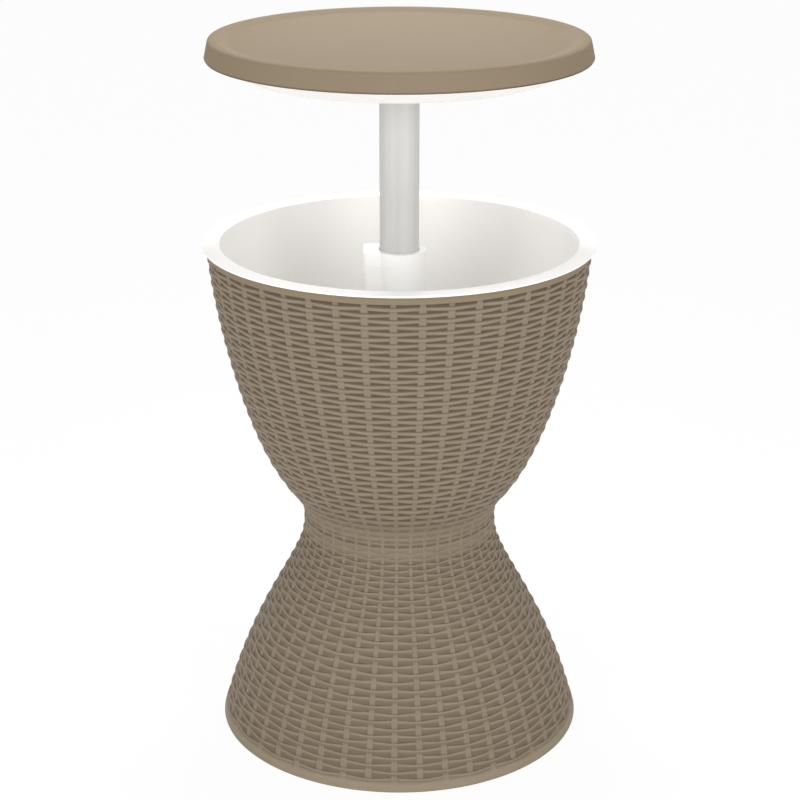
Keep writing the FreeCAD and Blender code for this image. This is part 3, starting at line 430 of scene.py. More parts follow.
def merge_flat(piece):
    """Joins the faces of a mesh that lie in one plane."""
    flat = math.radians(FLAT_ANGLE)
    reshape(piece, lambda shape: bmesh.ops.dissolve_limit(
        shape, angle_limit=flat, verts=shape.verts, edges=shape.edges))


def sharpen(piece, degrees=SHARP_ANGLE):
    """Marks the edges that turn by more than the angle as sharp, so that they stay crisp."""
    limit = math.radians(degrees)

    def work(shape):
        for edge in shape.edges:
            edge.smooth = len(edge.link_faces) == 2 and edge.calc_face_angle(0.0) < limit

    reshape(piece, work)


def sharpen_rows(piece, rows, columns):
    """Marks the edges that run along these rows of a ring as sharp, which keeps the shading of its
    outside, its inside and its ends apart."""
    edges = np.empty(len(piece.data.edges) * 2, np.int32)
    piece.data.edges.foreach_get("vertices", edges)
    row = edges.reshape(-1, 2) // columns
    sharp = (row[:, 0] == row[:, 1]) & np.isin(row[:, 0], rows)
    attributes = piece.data.attributes
    layer = attributes.get("sharp_edge") or attributes.new("sharp_edge", "BOOLEAN", "EDGE")
    layer.data.foreach_set("value", sharp)


def turned(name, outline, columns=ROUND_SIDES, centre=(0.0, 0.0)):
    """A solid of turn about Z: the closed outline of (radius, height) pairs is swept round the
    centre. Where it starts and ends on the axis, each pole is one point with a fan of
    triangles."""
    outline = np.array(outline, float)
    angle = np.arange(columns) * TURN / columns
    on_axis = outline[0, 0] == 0.0
    body = outline[1:-1] if on_axis else outline
    x = centre[0] + body[:, 0, None] * np.cos(angle)
    y = centre[1] + body[:, 0, None] * np.sin(angle)
    z = np.broadcast_to(body[:, 1, None], x.shape)
    points = np.stack([x, y, z], axis=-1).reshape(-1, 3)
    face_sets = [ring_faces(len(body), columns, closed=not on_axis)]
    if on_axis:
        pole = len(points)
        points = np.vstack([points, [[*centre, outline[0, 1]], [*centre, outline[-1, 1]]]])
        here = np.arange(columns)
        beside = (here + 1) % columns
        low = pole - columns
        first_pole = np.full(columns, pole)
        face_sets.append(np.column_stack([here, beside, first_pole]))
        face_sets.append(np.column_stack([low + beside, low + here, first_pole + 1]))
    piece = make_mesh(name, points, *face_sets)
    face_outwards(piece)
    sharpen(piece)
    return piece


def rounded(corners, steps=ARC_STEPS):
    """An outline with rounded corners: each corner is (radius, height, rounding), and becomes an
    arc that meets both sides, with a point a little before and after it to keep the sides flat."""
    corners = [tuple(corner) + (0.0,) * (3 - len(corner)) for corner in corners]
    line = []
    for k, (radius, height, rounding) in enumerate(corners):
        here = np.array([radius, height])
        if rounding == 0.0:
            line.append(here)
            continue
        before = np.array(corners[k - 1][:2]) - here
        after = np.array(corners[(k + 1) % len(corners)][:2]) - here
        before /= np.hypot(*before)
        after /= np.hypot(*after)
        half = math.acos(np.clip(before @ after, -1.0, 1.0)) / 2
        reach = rounding / math.tan(half)
        middle = (before + after) / np.hypot(*(before + after))
        centre = here + middle * rounding / math.sin(half)
        start = here + before * reach - centre
        turn = math.pi - 2 * half
        side = 1.0 if start[0] * after[1] - start[1] * after[0] > 0 else -1.0
        line.append(centre + start + before * rounding * ARC_MARGIN)
        for angle in np.linspace(0.0, turn, steps + 1) * side:
            cosine, sine = math.cos(angle), math.sin(angle)
            spoke = [start[0] * cosine - start[1] * sine, start[0] * sine + start[1] * cosine]
            line.append(centre + np.array(spoke))
        line.append(here + after * (reach + rounding * ARC_MARGIN))
    return line


def copy_of(name, node):
    """A copy of a CAD node's mesh, with one point where its triangles meet."""
    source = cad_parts[node]
    points = np.array([source.matrix_world @ vertex.co for vertex in source.data.vertices])
    corners = np.array([loop.vertex_index for loop in source.data.loops])
    piece = make_mesh(name, points, corners.reshape(-1, 3))
    merge_points(piece, COPY_MERGE)
    return piece


def softened(name, node, width):
    """A copy of a CAD node whose sharp edges are rounded by a bevel."""
    piece = copy_of(name, node)
    merge_flat(piece)
    bevel = piece.modifiers.new("rounding", "BEVEL")
    bevel.width = width
    bevel.segments = BEVEL_STEPS
    bevel.limit_method = "ANGLE"
    bevel.angle_limit = math.radians(SHARP_ANGLE)
    bevel.harden_normals = True
    return piece


# Meshes of the shells

OUTER_SKIN = 1.6 * MM
CORE_GAP = 0.05 * MM
CORE_MERGE = 0.02 * MM
CORE_SHORTEST_EDGE = 0.005 * MM


def add_strips(stake, relief, head, foot):
    """The strips above and below a ring's rows. The strands run through the ones above."""
    place, depth, tone, on_top = relief
    plain = np.zeros_like(stake)
    through = 1 - ease(strand_offset(np.abs(stake - np.round(stake))), *STRAND_CUT)
    for extra, inset, shade in head:
        place = np.vstack([plain + extra, place])
        depth = np.vstack([inset + (min(inset, STRAND_INSET) - inset) * through, depth])
        tone = np.vstack([shade + (max(shade, STRAND_HEAD_TONE) - shade) * through, tone])
        on_top = np.vstack([through > 0.5, on_top])
    for extra, inset, shade in foot:
        place = np.vstack([place, plain + extra])
        depth = np.vstack([depth, plain + inset])
        tone = np.vstack([tone, plain + shade])
        on_top = np.vstack([on_top, plain > 0])
    return place, depth, tone, on_top


def ring_relief(edges, first, last, pattern):
    """The points of a woven ring, from row first to row last: the place of each column, in stakes,
    and for each point its distance down the shell, its depth under the outline, its tone, and
    whether a strand is on top. The depth is how far the weave lies under its highest point."""
    samples = np.add.outer(np.arange(first, last), pattern.samples).ravel()
    rows = np.concatenate([samples, [last]])[:, None]
    weaver = np.floor(rows)
    share = rows - weaver
    stake = np.add.outer(np.arange(STAKES) + STAKES // 2, STAKE_SAMPLES).ravel()[None, :]
    drift = (row_shift(stake, weaver, pattern.dip) * (1 - share)
             + row_shift(stake, weaver + 1, pattern.dip) * share)
    drift = drift * ((rows > 0) & (rows < len(edges) - 1))
    height, tone, on_top = weave(stake, weaver, share, pattern)
    place = np.interp(rows + drift, np.arange(len(edges)), edges)
    places, keeps, plain_tones = np.array(pattern.fade).T
    keep = np.interp(place, places, keeps)
    plain_tone = np.interp(place, places, plain_tones)
    depth = np.minimum(WEAVER_WAVE - height, RELIEF_DEPTH) * keep
    tone = plain_tone + (tone - plain_tone) * keep
    head = pattern.head if first == 0 else ()
    foot = pattern.foot if last == len(edges) - 1 else ()
    return stake, *add_strips(stake, (place, depth, tone, on_top), head, foot)


def woven_ring(name, line, edges, first, last, pattern):
    """One ring of a woven shell. Its outside is the shell's outline, set in along the normal by
    the relief's depth, and its inside is the outline moved inwards by the relief's wall."""
    stake, place, depth, tone, on_top = ring_relief(edges, first, last, pattern)
    count, columns = place.shape
    point, normal = along(line, place.ravel())
    outer = point - normal * (depth.ravel() * np.abs(normal[:, 0]))[:, None]
    outer = outer.reshape(count, columns, 2)
    low, high = sorted((line[0, 1], line[-1, 1]))
    outer[..., 1] = np.clip(outer[..., 1], low, high)
    inner_place = np.linspace(place[-1].mean(), place[0].mean(), INNER_ROWS)
    inner_line = along(line, inner_place)[0] - [RELIEF_WALL, 0.0]
    inner = np.broadcast_to(inner_line[:, None, :], (INNER_ROWS, columns, 2))
    radius, height = np.moveaxis(np.concatenate([outer, inner]), -1, 0)
    angle = stake * TURN / STAKES + FIRST_STAKE
    points = np.stack([radius * np.sin(angle), -radius * np.cos(angle), height], axis=-1)
    piece = make_mesh(name, points.reshape(-1, 3), ring_faces(count + INNER_ROWS, columns))
    inner_tone = np.full((INNER_ROWS, columns), PLAIN_TONE)
    # The tone, with the weave's painted shade and highlights, is stored for the material.
    give(piece, "tone", np.concatenate([tone, inner_tone]) / BAND_TONE)
    give(piece, "strand", np.concatenate([on_top.astype(float), np.zeros((INNER_ROWS, columns))]))
    face_outwards(piece)
    sharpen_rows(piece, [0, count - 1, count, count + INNER_ROWS - 1], columns)
    return piece


def drawn_in(name, node, line):
    """A shell without its woven outside: its outer wall's points move in to the back of the
    weave."""
    piece = copy_of(name, node)
    points = np.empty(len(piece.data.vertices) * 3, np.float32)
    piece.data.vertices.foreach_get("co", points)
    points = points.reshape(-1, 3)
    radius = np.hypot(points[:, 0], points[:, 1])
    upwards = line[np.argsort(line[:, 1])]
    outline = np.interp(points[:, 2], upwards[:, 1], upwards[:, 0])
    outside = radius > outline - OUTER_SKIN
    target = np.where(outside, outline - RELIEF_WALL - CORE_GAP, radius)
    points[:, :2] *= (target / np.maximum(radius, 1e-9))[:, None]
    piece.data.vertices.foreach_set("co", points.ravel())
    merge_points(piece, CORE_MERGE)
    reshape(piece, lambda shape: bmesh.ops.dissolve_degenerate(
        shape, edges=shape.edges, dist=CORE_SHORTEST_EDGE))
    sharpen(piece)
    return piece


# Finishes

def colour(red, green, blue):
    """A colour given as the values from 0 to 255 that a screen shows, made linear."""
    shares = np.array([red, green, blue]) / 255.0
    linear = np.where(shares <= 0.04045, shares / 12.92, ((shares + 0.055) / 1.055) ** 2.4)
    return (*linear, 1.0)


def times(tint, factor):
    """A colour made lighter or darker by a factor."""
    return (*(np.array(tint[:3]) * factor), 1.0)


class Finish:
    """A material being built: a method that adds a step gives back the socket it ends in."""

    def __init__(self, name, roughness, specular=0.5):
        self.material = bpy.data.materials.new(name)
        self.material.use_nodes = True
        self.tree = self.material.node_tree
        self.shader = self.tree.nodes["Principled BSDF"]
        self.set("Roughness", roughness)
        self.set("Specular IOR Level", specular)
        self.place = self.tree.nodes.new("ShaderNodeTexCoord").outputs["Object"]

    def set(self, name, value):
        self.shader.inputs[name].default_value = value

    def feed(self, name, source):
        """Leads a socket into one of the shader's inputs."""
        self.join(source, self.shader.inputs[name])

    def join(self, source, target):
        self.tree.links.new(source, target)

    def stretched(self, x, y, z):
        """Object coordinates scaled along each axis: a large factor makes a pattern fine that
        way."""
        node = self.tree.nodes.new("ShaderNodeMapping")
        node.inputs["Scale"].default_value = (x, y, z)
        self.join(self.place, node.inputs["Vector"])
        return node.outputs["Vector"]

    def noise(self, place, scale=1.0, detail=2.0):
        """Soft noise, which lies mostly between 0.3 and 0.7."""
        node = self.tree.nodes.new("ShaderNodeTexNoise")
        node.inputs["Scale"].default_value = scale
        node.inputs["Detail"].default_value = detail
        self.join(place, node.inputs["Vector"])
        return node.outputs["Fac"]

    def cells(self, scale):
        """Distance to the nearest of many scattered points, for foam beads."""
        node = self.tree.nodes.new("ShaderNodeTexVoronoi")
        node.inputs["Scale"].default_value = scale
        self.join(self.place, node.inputs["Vector"])
        return node.outputs["Distance"]

    def value_of(self, name):
        """A number stored on the mesh's points."""
        node = self.tree.nodes.new("ShaderNodeAttribute")
        node.attribute_name = name
        return node.outputs["Fac"]

    def ranged(self, source, to_low, to_high, low=0.3, high=0.7):
        """The source's values from low to high, laid out evenly from to_low to to_high."""
        node = self.tree.nodes.new("ShaderNodeMapRange")
        names = ("From Min", "From Max", "To Min", "To Max")
        for name, value in zip(names, (low, high, to_low, to_high)):
            node.inputs[name].default_value = value
        self.join(source, node.inputs["Value"])
        return node.outputs["Result"]

    def ramp(self, source, *stops):
        """A colour for each value of the source, blended between the stops."""
        node = self.tree.nodes.new("ShaderNodeValToRGB")
        elements = node.color_ramp.elements
        while len(elements) < len(stops):
            elements.new(0.5)
        for element, (position, tint) in zip(elements, stops):
            element.position = position
            element.color = tint
        self.join(source, node.inputs["Fac"])
        return node.outputs["Color"]

    def mix(self, factor, first, second):
        """The first source where the factor is 0 and the second where it is 1."""
        node = self.tree.nodes.new("ShaderNodeMix")
        self.join(factor, node.inputs[0])
        self.join(first, node.inputs[2])
        self.join(second, node.inputs[3])
        return node.outputs[0]

    def scaled(self, tint, factor):
        """A colour multiplied by a number that varies over the surface."""
        node = self.tree.nodes.new("ShaderNodeVectorMath")
        node.operation = "SCALE"
        self.join(tint, node.inputs[0])
        self.join(factor, node.inputs["Scale"])
        return node.outputs["Vector"]

    def product(self, first, second):
        node = self.tree.nodes.new("ShaderNodeMath")
        node.operation = "MULTIPLY"
        self.join(first, node.inputs[0])
        self.join(second, node.inputs[1])
        return node.outputs[0]

    def bump(self, height, strength, distance):
        """Small bumps in the surface's shading, as high as the source is."""
        node = self.tree.nodes.new("ShaderNodeBump")
        node.inputs["Strength"].default_value = strength
        node.inputs["Distance"].default_value = distance
        self.join(height, node.inputs["Height"])
        self.feed("Normal", node.outputs["Normal"])


def moulded(name, tint, roughness, cloud=0.03, grain=0.1, specular=0.5):
    """Moulded plastic: soft clouds of a slightly lighter and darker tint, and a fine eggshell
    grain."""
    finish = Finish(name, roughness, specular)
    clouds = finish.noise(finish.place, scale=9.0, detail=3.0)
    specks = finish.noise(finish.place, scale=420.0)
    tone = finish.ramp(clouds, (0.3, times(tint, 1 - cloud)), (0.7, times(tint, 1 + cloud)))
    finish.feed("Base Color", finish.scaled(tone, finish.ranged(specks, 0.985, 1.015)))
    finish.feed("Roughness", finish.ranged(clouds, roughness - 0.04, roughness + 0.04))
    finish.bump(finish.noise(finish.place, scale=1100.0), strength=grain, distance=0.15 * MM)
    return finish.material


def woven_resin_painted_light():
    """Tan resin moulded as rattan: painted shade in the grooves and a painted highlight on the
    crests, from the weave's tone, fibres that run along each weaver and up each strand, and
    weavers that differ a little from one to the next."""
    finish = Finish("woven_resin_painted_light", roughness=0.65, specular=0.2)
    tone = finish.value_of("tone")
    strand = finish.value_of("strand")
    # The ramp turns tone into colour: its dark end is painted shade for the slots and grooves, its
    # light end a painted highlight for the crests.
    tint = finish.ramp(
        tone, (0.0, colour(89, 77, 60)), (0.24, colour(102, 90, 73)), (0.44, colour(116, 103, 86)),
        (0.64, colour(128, 115, 98)), (0.8, colour(135, 122, 105)), (1.0, colour(141, 129, 110)))
    along_rows = finish.noise(finish.stretched(45.0, 45.0, 1100.0), detail=3.0)
    up_strands = finish.noise(finish.stretched(1400.0, 1400.0, 50.0), detail=3.0)
    fibre = finish.mix(strand, along_rows, up_strands)
    patches = finish.noise(finish.stretched(26.0, 26.0, 150.0))
    fibre_shade = finish.ranged(fibre, 0.93, 1.06, low=0.25, high=0.75)
    shade = finish.product(fibre_shade, finish.ranged(patches, 0.96, 1.04))
    finish.feed("Base Color", finish.scaled(tint, shade))
    finish.feed("Roughness", finish.ranged(fibre, 0.72, 0.6))
    finish.bump(fibre, strength=0.35, distance=0.25 * MM)
    return finish.material


def bead_foam():
    """Moulded foam: white beads of about 4 mm with fine creases between them, and painted shade
    that darkens the tint towards the creases.
    """
    finish = Finish("bead_foam", roughness=0.85, specular=0.3)
    beads = finish.cells(scale=250.0)
    # The tint darkens towards each bead's edge: painted shade in the creases.
    finish.feed("Base Color", finish.ramp(
        beads, (0.0, colour(240, 237, 226)), (0.6, colour(232, 228, 214)),
        (1.0, colour(196, 191, 176))))
    height = finish.ranged(beads, 1.0, 0.0, low=0.0, high=1.0)
    finish.bump(height, strength=0.6, distance=0.5 * MM)
    return finish.material


def drawn_tube():
    """Light grey mast: fine lines that run up it, from drawing, under a satin coat."""
    finish = Finish("grey_mast_coat", roughness=0.38)
    lines = finish.noise(finish.stretched(520.0, 520.0, 2.0), detail=3.0)
    bands = finish.noise(finish.stretched(70.0, 70.0, 1.2))
    tint = finish.ramp(bands, (0.3, colour(193, 192, 189)), (0.7, colour(203, 202, 199)))
    finish.feed("Base Color", finish.scaled(tint, finish.ranged(lines, 0.98, 1.02)))
    finish.bump(lines, strength=0.12, distance=0.1 * MM)
    return finish.material


def soft_rubber():
    """Dark grey rubber with a dull, dusty grain."""
    finish = Finish("soft_rubber", roughness=0.75, specular=0.3)
    dust = finish.noise(finish.place, scale=300.0, detail=4.0)
    tint = finish.ramp(dust, (0.3, colour(52, 52, 51)), (0.7, colour(74, 74, 72)))
    finish.feed("Base Color", tint)
    finish.bump(dust, strength=0.25, distance=0.2 * MM)
    return finish.material


def bright_steel():
    """Plated steel fastener: short fine scratches vary its tint and its gloss."""
    finish = Finish("plated_steel", roughness=0.3)
    finish.set("Metallic", 1.0)
    scratches = finish.noise(finish.stretched(900.0, 120.0, 900.0), detail=3.0)
    tint = finish.ramp(scratches, (0.3, colour(176, 176, 173)), (0.7, colour(206, 206, 203)))
    finish.feed("Base Color", tint)
    finish.feed("Roughness", finish.ranged(scratches, 0.24, 0.38))
    finish.bump(scratches, strength=0.1, distance=0.1 * MM)
    return finish.material


# One finish for each material slot of the record
finishes = {
    "tan_woven_resin": woven_resin_painted_light(),
    "tan_smooth_resin": moulded(
        "smooth_tan_resin", colour(135, 121, 101), 0.6, cloud=0.02, grain=0.12, specular=0.03),
    "white_resin": moulded(
        "white_bucket_resin", colour(251, 249, 246), 0.4, cloud=0.006, grain=0.08),
    "insulation_foam": bead_foam(),
    "guide_resin": moulded("guide_resin", colour(214, 212, 207), 0.45),
    "grey_mast": drawn_tube(),
    "collar_resin": moulded("collar_resin", colour(251, 250, 248), 0.4, cloud=0.006, grain=0.08),
    "cover_resin": moulded("cover_resin", colour(254, 253, 251), 0.25, cloud=0.003, grain=0.03),
    "button_resin": moulded("button_resin", colour(240, 238, 234), 0.45, cloud=0.015),
    "seal_rubber": soft_rubber(),
    "drain_resin": moulded("drain_resin", colour(228, 226, 220), 0.4, cloud=0.02, grain=0.08),
    "bright_steel": bright_steel(),
}


def dress(piece, body, slot, *nodes):
    """Gives a new piece the finish for a record slot and its body, and hides the CAD nodes it
    stands for."""
    piece.data.materials.append(finishes[slot])
    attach(piece, body)
    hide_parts(*nodes)


# Shells

bowl_edges = row_edges(BOWL_SPACING, BOWL_WEAVE_START, bowl_length)
base_edges = row_edges(BASE_SPACING, BASE_WEAVE_START, base_length - FOOT_BAND)


def make_woven_shell(shell, line, edges, pattern):
    """The rings of one shell, of eleven rows each but for the last."""
    count = len(edges) - 1
    firsts = list(range(0, count - RING_ROWS // 2, RING_ROWS))
    lasts = firsts[1:] + [count]
    for number, (first, last) in enumerate(zip(firsts, lasts), start=1):
        ring = woven_ring("%s_weave_%d" % (shell, number), line, edges, first, last, pattern)
        dress(ring, "table_body", "tan_woven_resin", shell + "_shell")


def make_cove():
    """The plain hollow moulding under the rim."""
    inside = BOWL_RADIUS - RELIEF_WALL
    outline = [*cove_outline(), (inside, rim_top - RIM_EDGE), (inside, BOWL_TOP)]
    dress(turned("rim_cove", outline), "table_body", "tan_smooth_resin", "bowl_shell")


def make_liner():
    """The bucket, with the underside of its rim raised so that the rim's edge is as thin as it
    looks."""
    piece = copy_of("liner_moulding", "bucket_liner")
    thinner = RIM_EDGE / (rim_top - rim_bottom)
    for vertex in piece.data.vertices:
        x, y, z = vertex.co
        if math.hypot(x, y) > RIM_OVERHANG_RADIUS and z > rim_bottom - RIM_SLACK:
            vertex.co.z = rim_top - (rim_top - z) * thinner
    sharpen(piece)
    dress(piece, "table_body", "white_resin", "bucket_liner")


make_woven_shell("bowl", bowl_line, bowl_edges, BOWL_PATTERN)
make_woven_shell("base", base_line, base_edges, BASE_PATTERN)
bowl_core = drawn_in("bowl_core", "bowl_shell", bowl_line)
dress(bowl_core, "table_body", "tan_woven_resin", "bowl_shell")
base_core = drawn_in("base_core", "base_shell", base_line)
dress(base_core, "table_body", "tan_woven_resin", "base_shell")
make_cove()
make_liner()


# Tabletop

SKIRT_DEPTH = 20.8 * MM
SKIRT_LEAN = 4.5 * MM
TABLETOP_WALL = 3.0 * MM
DISH_DEPTH = 3.0 * MM
LIP_WIDTH = 8.0 * MM
DISH_SLOPE = 12.0 * MM
TABLETOP_ARC_STEPS = 9

BOSS_RADIUS = 5.0 * MM
BOSS_SIDES = 32
BOSS_ROOT = 0.5 * MM
PILOT_RADIUS = 2.1 * MM
PANEL_BOSSES = 6
PANEL_BOSS_CIRCLE = 145.0 * MM
PANEL_BOSS_GAP = 0.3 * MM
PANEL_PILOT_DEPTH = 12.0 * MM
HEAD_BOSSES = 4
HEAD_BOSS_CIRCLE = 32.0 * MM
HEAD_PILOT_COVER = 1.5 * MM

PANEL_WALL = 2.5 * MM
PANEL_RADIUS = 186.0 * MM
PANEL_FOOT_RADIUS = 161.0 * MM
PANEL_SLOPE_HEIGHT = 14.0 * MM
RECESS_RADIUS = 46.0 * MM
RECESS_DEPTH = 8.5 * MM
HUB_HOLE_RADIUS = 25.4 * MM

tabletop_underside = tabletop_height - DISH_DEPTH - TABLETOP_WALL


def make_tabletop():
    """Dished top with a soft lip, and a slanted skirt with a rounded foot."""
    skirt_bottom = tabletop_height - SKIRT_DEPTH
    edge = skirt_radius - SKIRT_LEAN
    dish = tabletop_height - DISH_DEPTH
    lip = edge - LIP_WIDTH
    outline = rounded([
        (0.0, tabletop_underside),
        (edge - TABLETOP_WALL, tabletop_underside, 1.5 * MM),
        (skirt_radius - TABLETOP_WALL, skirt_bottom, 0.8 * MM),
        (skirt_radius, skirt_bottom, 1.2 * MM),
        (edge, tabletop_height, 3.2 * MM),
        (lip, tabletop_height, 6.0 * MM),
        (lip - DISH_SLOPE, dish, 14.0 * MM),
        (0.0, dish),
    ], TABLETOP_ARC_STEPS)
    moulding = turned("tabletop_moulding", outline)
    dress(moulding, "tabletop", "tan_smooth_resin", "tabletop_shell")


def make_bosses(name, count, turn, circle, bottom, pilot_top):
    """Hollow screw bosses that stand in the tabletop's underside, spaced evenly round a circle. The
    first is turned from the X axis by a share of their spacing."""
    top = tabletop_underside + BOSS_ROOT
    outline = [
        (0.0, pilot_top), (PILOT_RADIUS, pilot_top), (PILOT_RADIUS, bottom),
        (BOSS_RADIUS, bottom), (BOSS_RADIUS, top), (0.0, top),
    ]
    for k in range(count):
        angle = TURN * (k + turn) / count
        place = (circle * math.cos(angle), circle * math.sin(angle))
        boss = turned("%s_%d" % (name, k + 1), outline, BOSS_SIDES, place)
        dress(boss, "tabletop", "tan_smooth_resin", "tabletop_shell")


def make_underside_panel():
    """White plug with a sloped side, a flange into the skirt and a recess round the mast's
    head."""
    roof = panel_bottom + RECESS_DEPTH
    slope_top = panel_bottom + PANEL_SLOPE_HEIGHT
    flange = panel_top - PANEL_WALL
    outline = rounded([
        (HUB_HOLE_RADIUS, roof, 0.5 * MM),
        (RECESS_RADIUS, roof, 1.5 * MM),
        (RECESS_RADIUS, panel_bottom, 1.5 * MM),
        (PANEL_FOOT_RADIUS, panel_bottom, 6.0 * MM),
        (PANEL_RADIUS, slope_top, 6.0 * MM),
        (PANEL_RADIUS, flange, 1.0 * MM),
        (panel_flange_radius, flange, 0.6 * MM),
        (panel_flange_radius, panel_top, 0.6 * MM),
        (PANEL_RADIUS - PANEL_WALL, panel_top, 0.8 * MM),
        (PANEL_RADIUS - PANEL_WALL, slope_top + 1.5 * MM, 4.0 * MM),
        (PANEL_FOOT_RADIUS - 1.5 * MM, panel_bottom + PANEL_WALL, 4.0 * MM),
        (RECESS_RADIUS + PANEL_WALL, panel_bottom + PANEL_WALL, 0.8 * MM),
        (RECESS_RADIUS + PANEL_WALL, roof + PANEL_WALL, 0.8 * MM),
        (HUB_HOLE_RADIUS, roof + PANEL_WALL, 0.5 * MM),
    ])
    dress(turned("underside_moulding", outline), "tabletop", "white_resin", "underside_panel")


make_tabletop()
panel_boss_bottom = panel_bottom + PANEL_WALL + PANEL_BOSS_GAP
make_bosses("panel_boss", PANEL_BOSSES, 0.0, PANEL_BOSS_CIRCLE,
            panel_boss_bottom, panel_boss_bottom + PANEL_PILOT_DEPTH)
make_bosses("head_boss", HEAD_BOSSES, 0.5, HEAD_BOSS_CIRCLE,
            head_flange_top, tabletop_underside - HEAD_PILOT_COVER)
make_underside_panel()


# Collar, button and drain plug

# The collar's round part, and the lobe to its left. A corner of the lobe is an arc, given by its
# middle (x, y) and its radius. The cover stands over both a little.
COLLAR_RADIUS = 28.5 * MM
LOBE_HALF_WIDTH = 14.0 * MM
LOBE_CORNER = (-33.3 * MM, 9.0 * MM, 5.0 * MM)
COVER_OVER = 0.3 * MM

# How much the collar's top rises, from how far under it, and how much the lobe widens on each side
COLLAR_RISE = 2.2 * MM
TOP_ZONE = 3.0 * MM
LOBE_GROWTH = 7.0 * MM

# How far inside a face, a corner, a side or the round part a point may lie and still belong to it
FACE_SLACK = 0.05 * MM
CORNER_SLACK = 0.5 * MM
SIDE_SLACK = 0.3 * MM
ROUND_SLACK = 0.6 * MM

# Edges of the button's spring that turn by more than this angle stay crisp.
COIL_SHARP_ANGLE = 50.0


def fill_out(piece, radius, half_width):
    """Raises the collar's top, and widens its lobe until the sides run into the round part
    smoothly: the rounded corners move out, and the round part's points behind the new sides move
    onto them."""
    x, y, rounding = LOBE_CORNER
    wide = half_width + LOBE_GROWTH
    wide_x = -math.sqrt(radius**2 - wide**2)
    for vertex in piece.data.vertices:
        place = vertex.co
        side = math.copysign(1.0, place.y)
        reach = abs(place.y)
        on_corner = (place.x < x + FACE_SLACK and reach > y
                     and math.hypot(place.x - x, reach - y) > rounding - CORNER_SLACK)
        on_round = (place.x < wide_x and reach > half_width - SIDE_SLACK
                    and math.hypot(place.x, reach) > radius - ROUND_SLACK)
        if place.z > collar_top - TOP_ZONE:
            place.z += COLLAR_RISE
        if on_corner:
            place.y += side * LOBE_GROWTH
        elif on_round:
            place.y = side * wide
    merge_flat(piece)


def make_collar():
    """Collar and cover, both filled out."""
    collar = softened("collar_moulding", "locking_collar", width=0.6 * MM)
    cover = softened("cover_moulding", "latch_cover", width=0.5 * MM)
    fill_out(collar, COLLAR_RADIUS, LOBE_HALF_WIDTH)
    fill_out(cover, COLLAR_RADIUS + COVER_OVER, LOBE_HALF_WIDTH + COVER_OVER)
    dress(collar, "table_body", "collar_resin", "locking_collar")
    dress(cover, "table_body", "cover_resin", "latch_cover")


make_collar()
button = softened("button_moulding", "release_button", width=0.45 * MM)
dress(button, "release", "button_resin", "release_button")
plug = softened("plug_moulding", "drain_plug", width=0.6 * MM)
dress(plug, "plug", "drain_resin", "drain_plug")

spring_coil = copy_of("spring_coil", "button_spring")
sharpen(spring_coil, COIL_SHARP_ANGLE)
dress(spring_coil, "table_body", "bright_steel", "button_spring")
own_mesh(spring_coil)


# CAD nodes that keep their own shape

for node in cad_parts.values():
    if not node.hide_render:
        node.material_slots[0].material = finishes[node.material_slots[0].name]


# Floor, light and camera

FLOOR_REACH = 30.0
FLOOR_TINT = 0.88
FLOOR_GLOW = 0.93
WORLD_STRENGTH = 0.74

# Name, place, the point it lights, side in metres, power in watts
LAMPS = (
    ("overhead", (0.0, 0.6, 1.85), (0.0, 0.0, 0.77), 0.35, 12.0),
    ("front_left", (-1.5, -2.2, 1.1), (0.0, 0.0, 0.55), 1.4, 23.0),
    ("front_right", (1.5, -2.2, 1.1), (0.0, 0.0, 0.55), 1.4, 23.0),
    ("back", (0.0, 1.0, 1.02), (0.0, 0.0, 0.76), 0.5, 1.2),
)

CAMERA_PLACE = (0.0, -2.0715, 1.1230)
CAMERA_TILT = math.radians(70.0)
CAMERA_SENSOR = 36.0
CAMERA_LENS = 90.567
CAMERA_SHIFT = (0.00075, 0.0028)


def grey_shader(tree, kind, value):
    """A diffuse, emission or background shader of a grey from 0 to 1."""
    node = tree.nodes.new(kind)
    node.inputs["Color"].default_value = (value, value, value, 1.0)
    return node


def rays_of(tree, *kinds):
    """1 where a ray of one of these kinds meets the surface, else 0."""
    rays = tree.nodes.new("ShaderNodeLightPath")
    socket = rays.outputs[kinds[0]]
    for kind in kinds[1:]:
        both = tree.nodes.new("ShaderNodeMath")
        both.operation = "MAXIMUM"
        tree.links.new(socket, both.inputs[0])
        tree.links.new(rays.outputs[kind], both.inputs[1])
        socket = both.outputs[0]
    return socket


def end_in_mix(tree, output, share, plain, seen):
    """Ends a node tree in a mix of two shaders: plain where the share is 0, seen where it is 1."""
    mix = tree.nodes.new("ShaderNodeMixShader")
    for socket, target in zip((share, plain.outputs[0], seen.outputs[0]), mix.inputs):
        tree.links.new(socket, target)
    tree.links.new(mix.outputs[0], tree.nodes.new(output).inputs["Surface"])


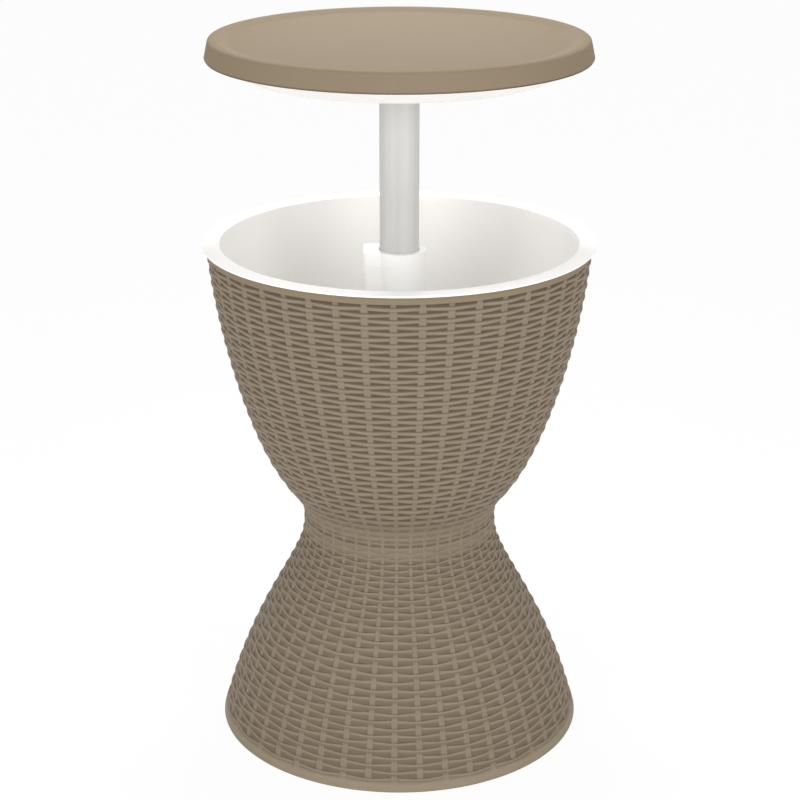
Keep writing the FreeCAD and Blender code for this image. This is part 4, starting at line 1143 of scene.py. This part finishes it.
def make_floor():
    """A large pale floor that shows nearly white to the camera and keeps the object's shadow."""
    corners = np.array([(-1, -1, 0), (1, -1, 0), (1, 1, 0), (-1, 1, 0)])
    floor = make_mesh("floor", corners * FLOOR_REACH, np.array([[0, 1, 2, 3]]))
    finish = bpy.data.materials.new("pale_floor")
    finish.use_nodes = True
    tree = finish.node_tree
    tree.nodes.clear()
    share = tree.nodes.new("ShaderNodeMath")
    share.operation = "MULTIPLY"
    share.inputs[1].default_value = FLOOR_GLOW
    tree.links.new(rays_of(tree, "Is Camera Ray"), share.inputs[0])
    matt = grey_shader(tree, "ShaderNodeBsdfDiffuse", FLOOR_TINT)
    glow = grey_shader(tree, "ShaderNodeEmission", 1.0)
    end_in_mix(tree, "ShaderNodeOutputMaterial", share.outputs[0], matt, glow)
    floor.data.materials.append(finish)


def make_world():
    """Soft light from all round, and plain white where the camera, gloss or glass sees the
    background."""
    world = bpy.data.worlds.new("studio")
    bpy.context.scene.world = world
    world.use_nodes = True
    tree = world.node_tree
    tree.nodes.clear()
    soft = grey_shader(tree, "ShaderNodeBackground", 1.0)
    soft.inputs["Strength"].default_value = WORLD_STRENGTH
    white = grey_shader(tree, "ShaderNodeBackground", 1.0)
    white.inputs["Strength"].default_value = 1.0
    seen = rays_of(tree, "Is Camera Ray", "Is Glossy Ray", "Is Transmission Ray")
    end_in_mix(tree, "ShaderNodeOutputWorld", seen, soft, white)


def add_lamp(name, place, aim, size, power):
    """A square area lamp at a place, turned towards the point it lights."""
    lamp = bpy.data.lights.new(name, "AREA")
    lamp.shape = "SQUARE"
    lamp.size = size
    lamp.energy = power
    holder = bpy.data.objects.new(name, lamp)
    bpy.context.scene.collection.objects.link(holder)
    away = np.array(place) - np.array(aim)
    flat = math.hypot(away[0], away[1])
    holder.location = place
    holder.rotation_euler = (math.atan2(flat, away[2]), 0.0, math.atan2(away[0], -away[1]))
    holder.visible_camera = False


def add_camera():
    """The photograph's camera: 2.07 m before the mast, 1.12 m up, tilted 20 degrees down."""
    camera = bpy.data.cameras.new("camera")
    camera.sensor_width = CAMERA_SENSOR
    camera.lens = CAMERA_LENS
    camera.shift_x, camera.shift_y = CAMERA_SHIFT
    holder = bpy.data.objects.new("camera", camera)
    bpy.context.scene.collection.objects.link(holder)
    holder.location = CAMERA_PLACE
    holder.rotation_euler = (CAMERA_TILT, 0.0, 0.0)
    bpy.context.scene.camera = holder


make_floor()
make_world()
for lamp_row in LAMPS:
    add_lamp(*lamp_row)
add_camera()
bpy.context.scene.view_settings.view_transform = "Standard"
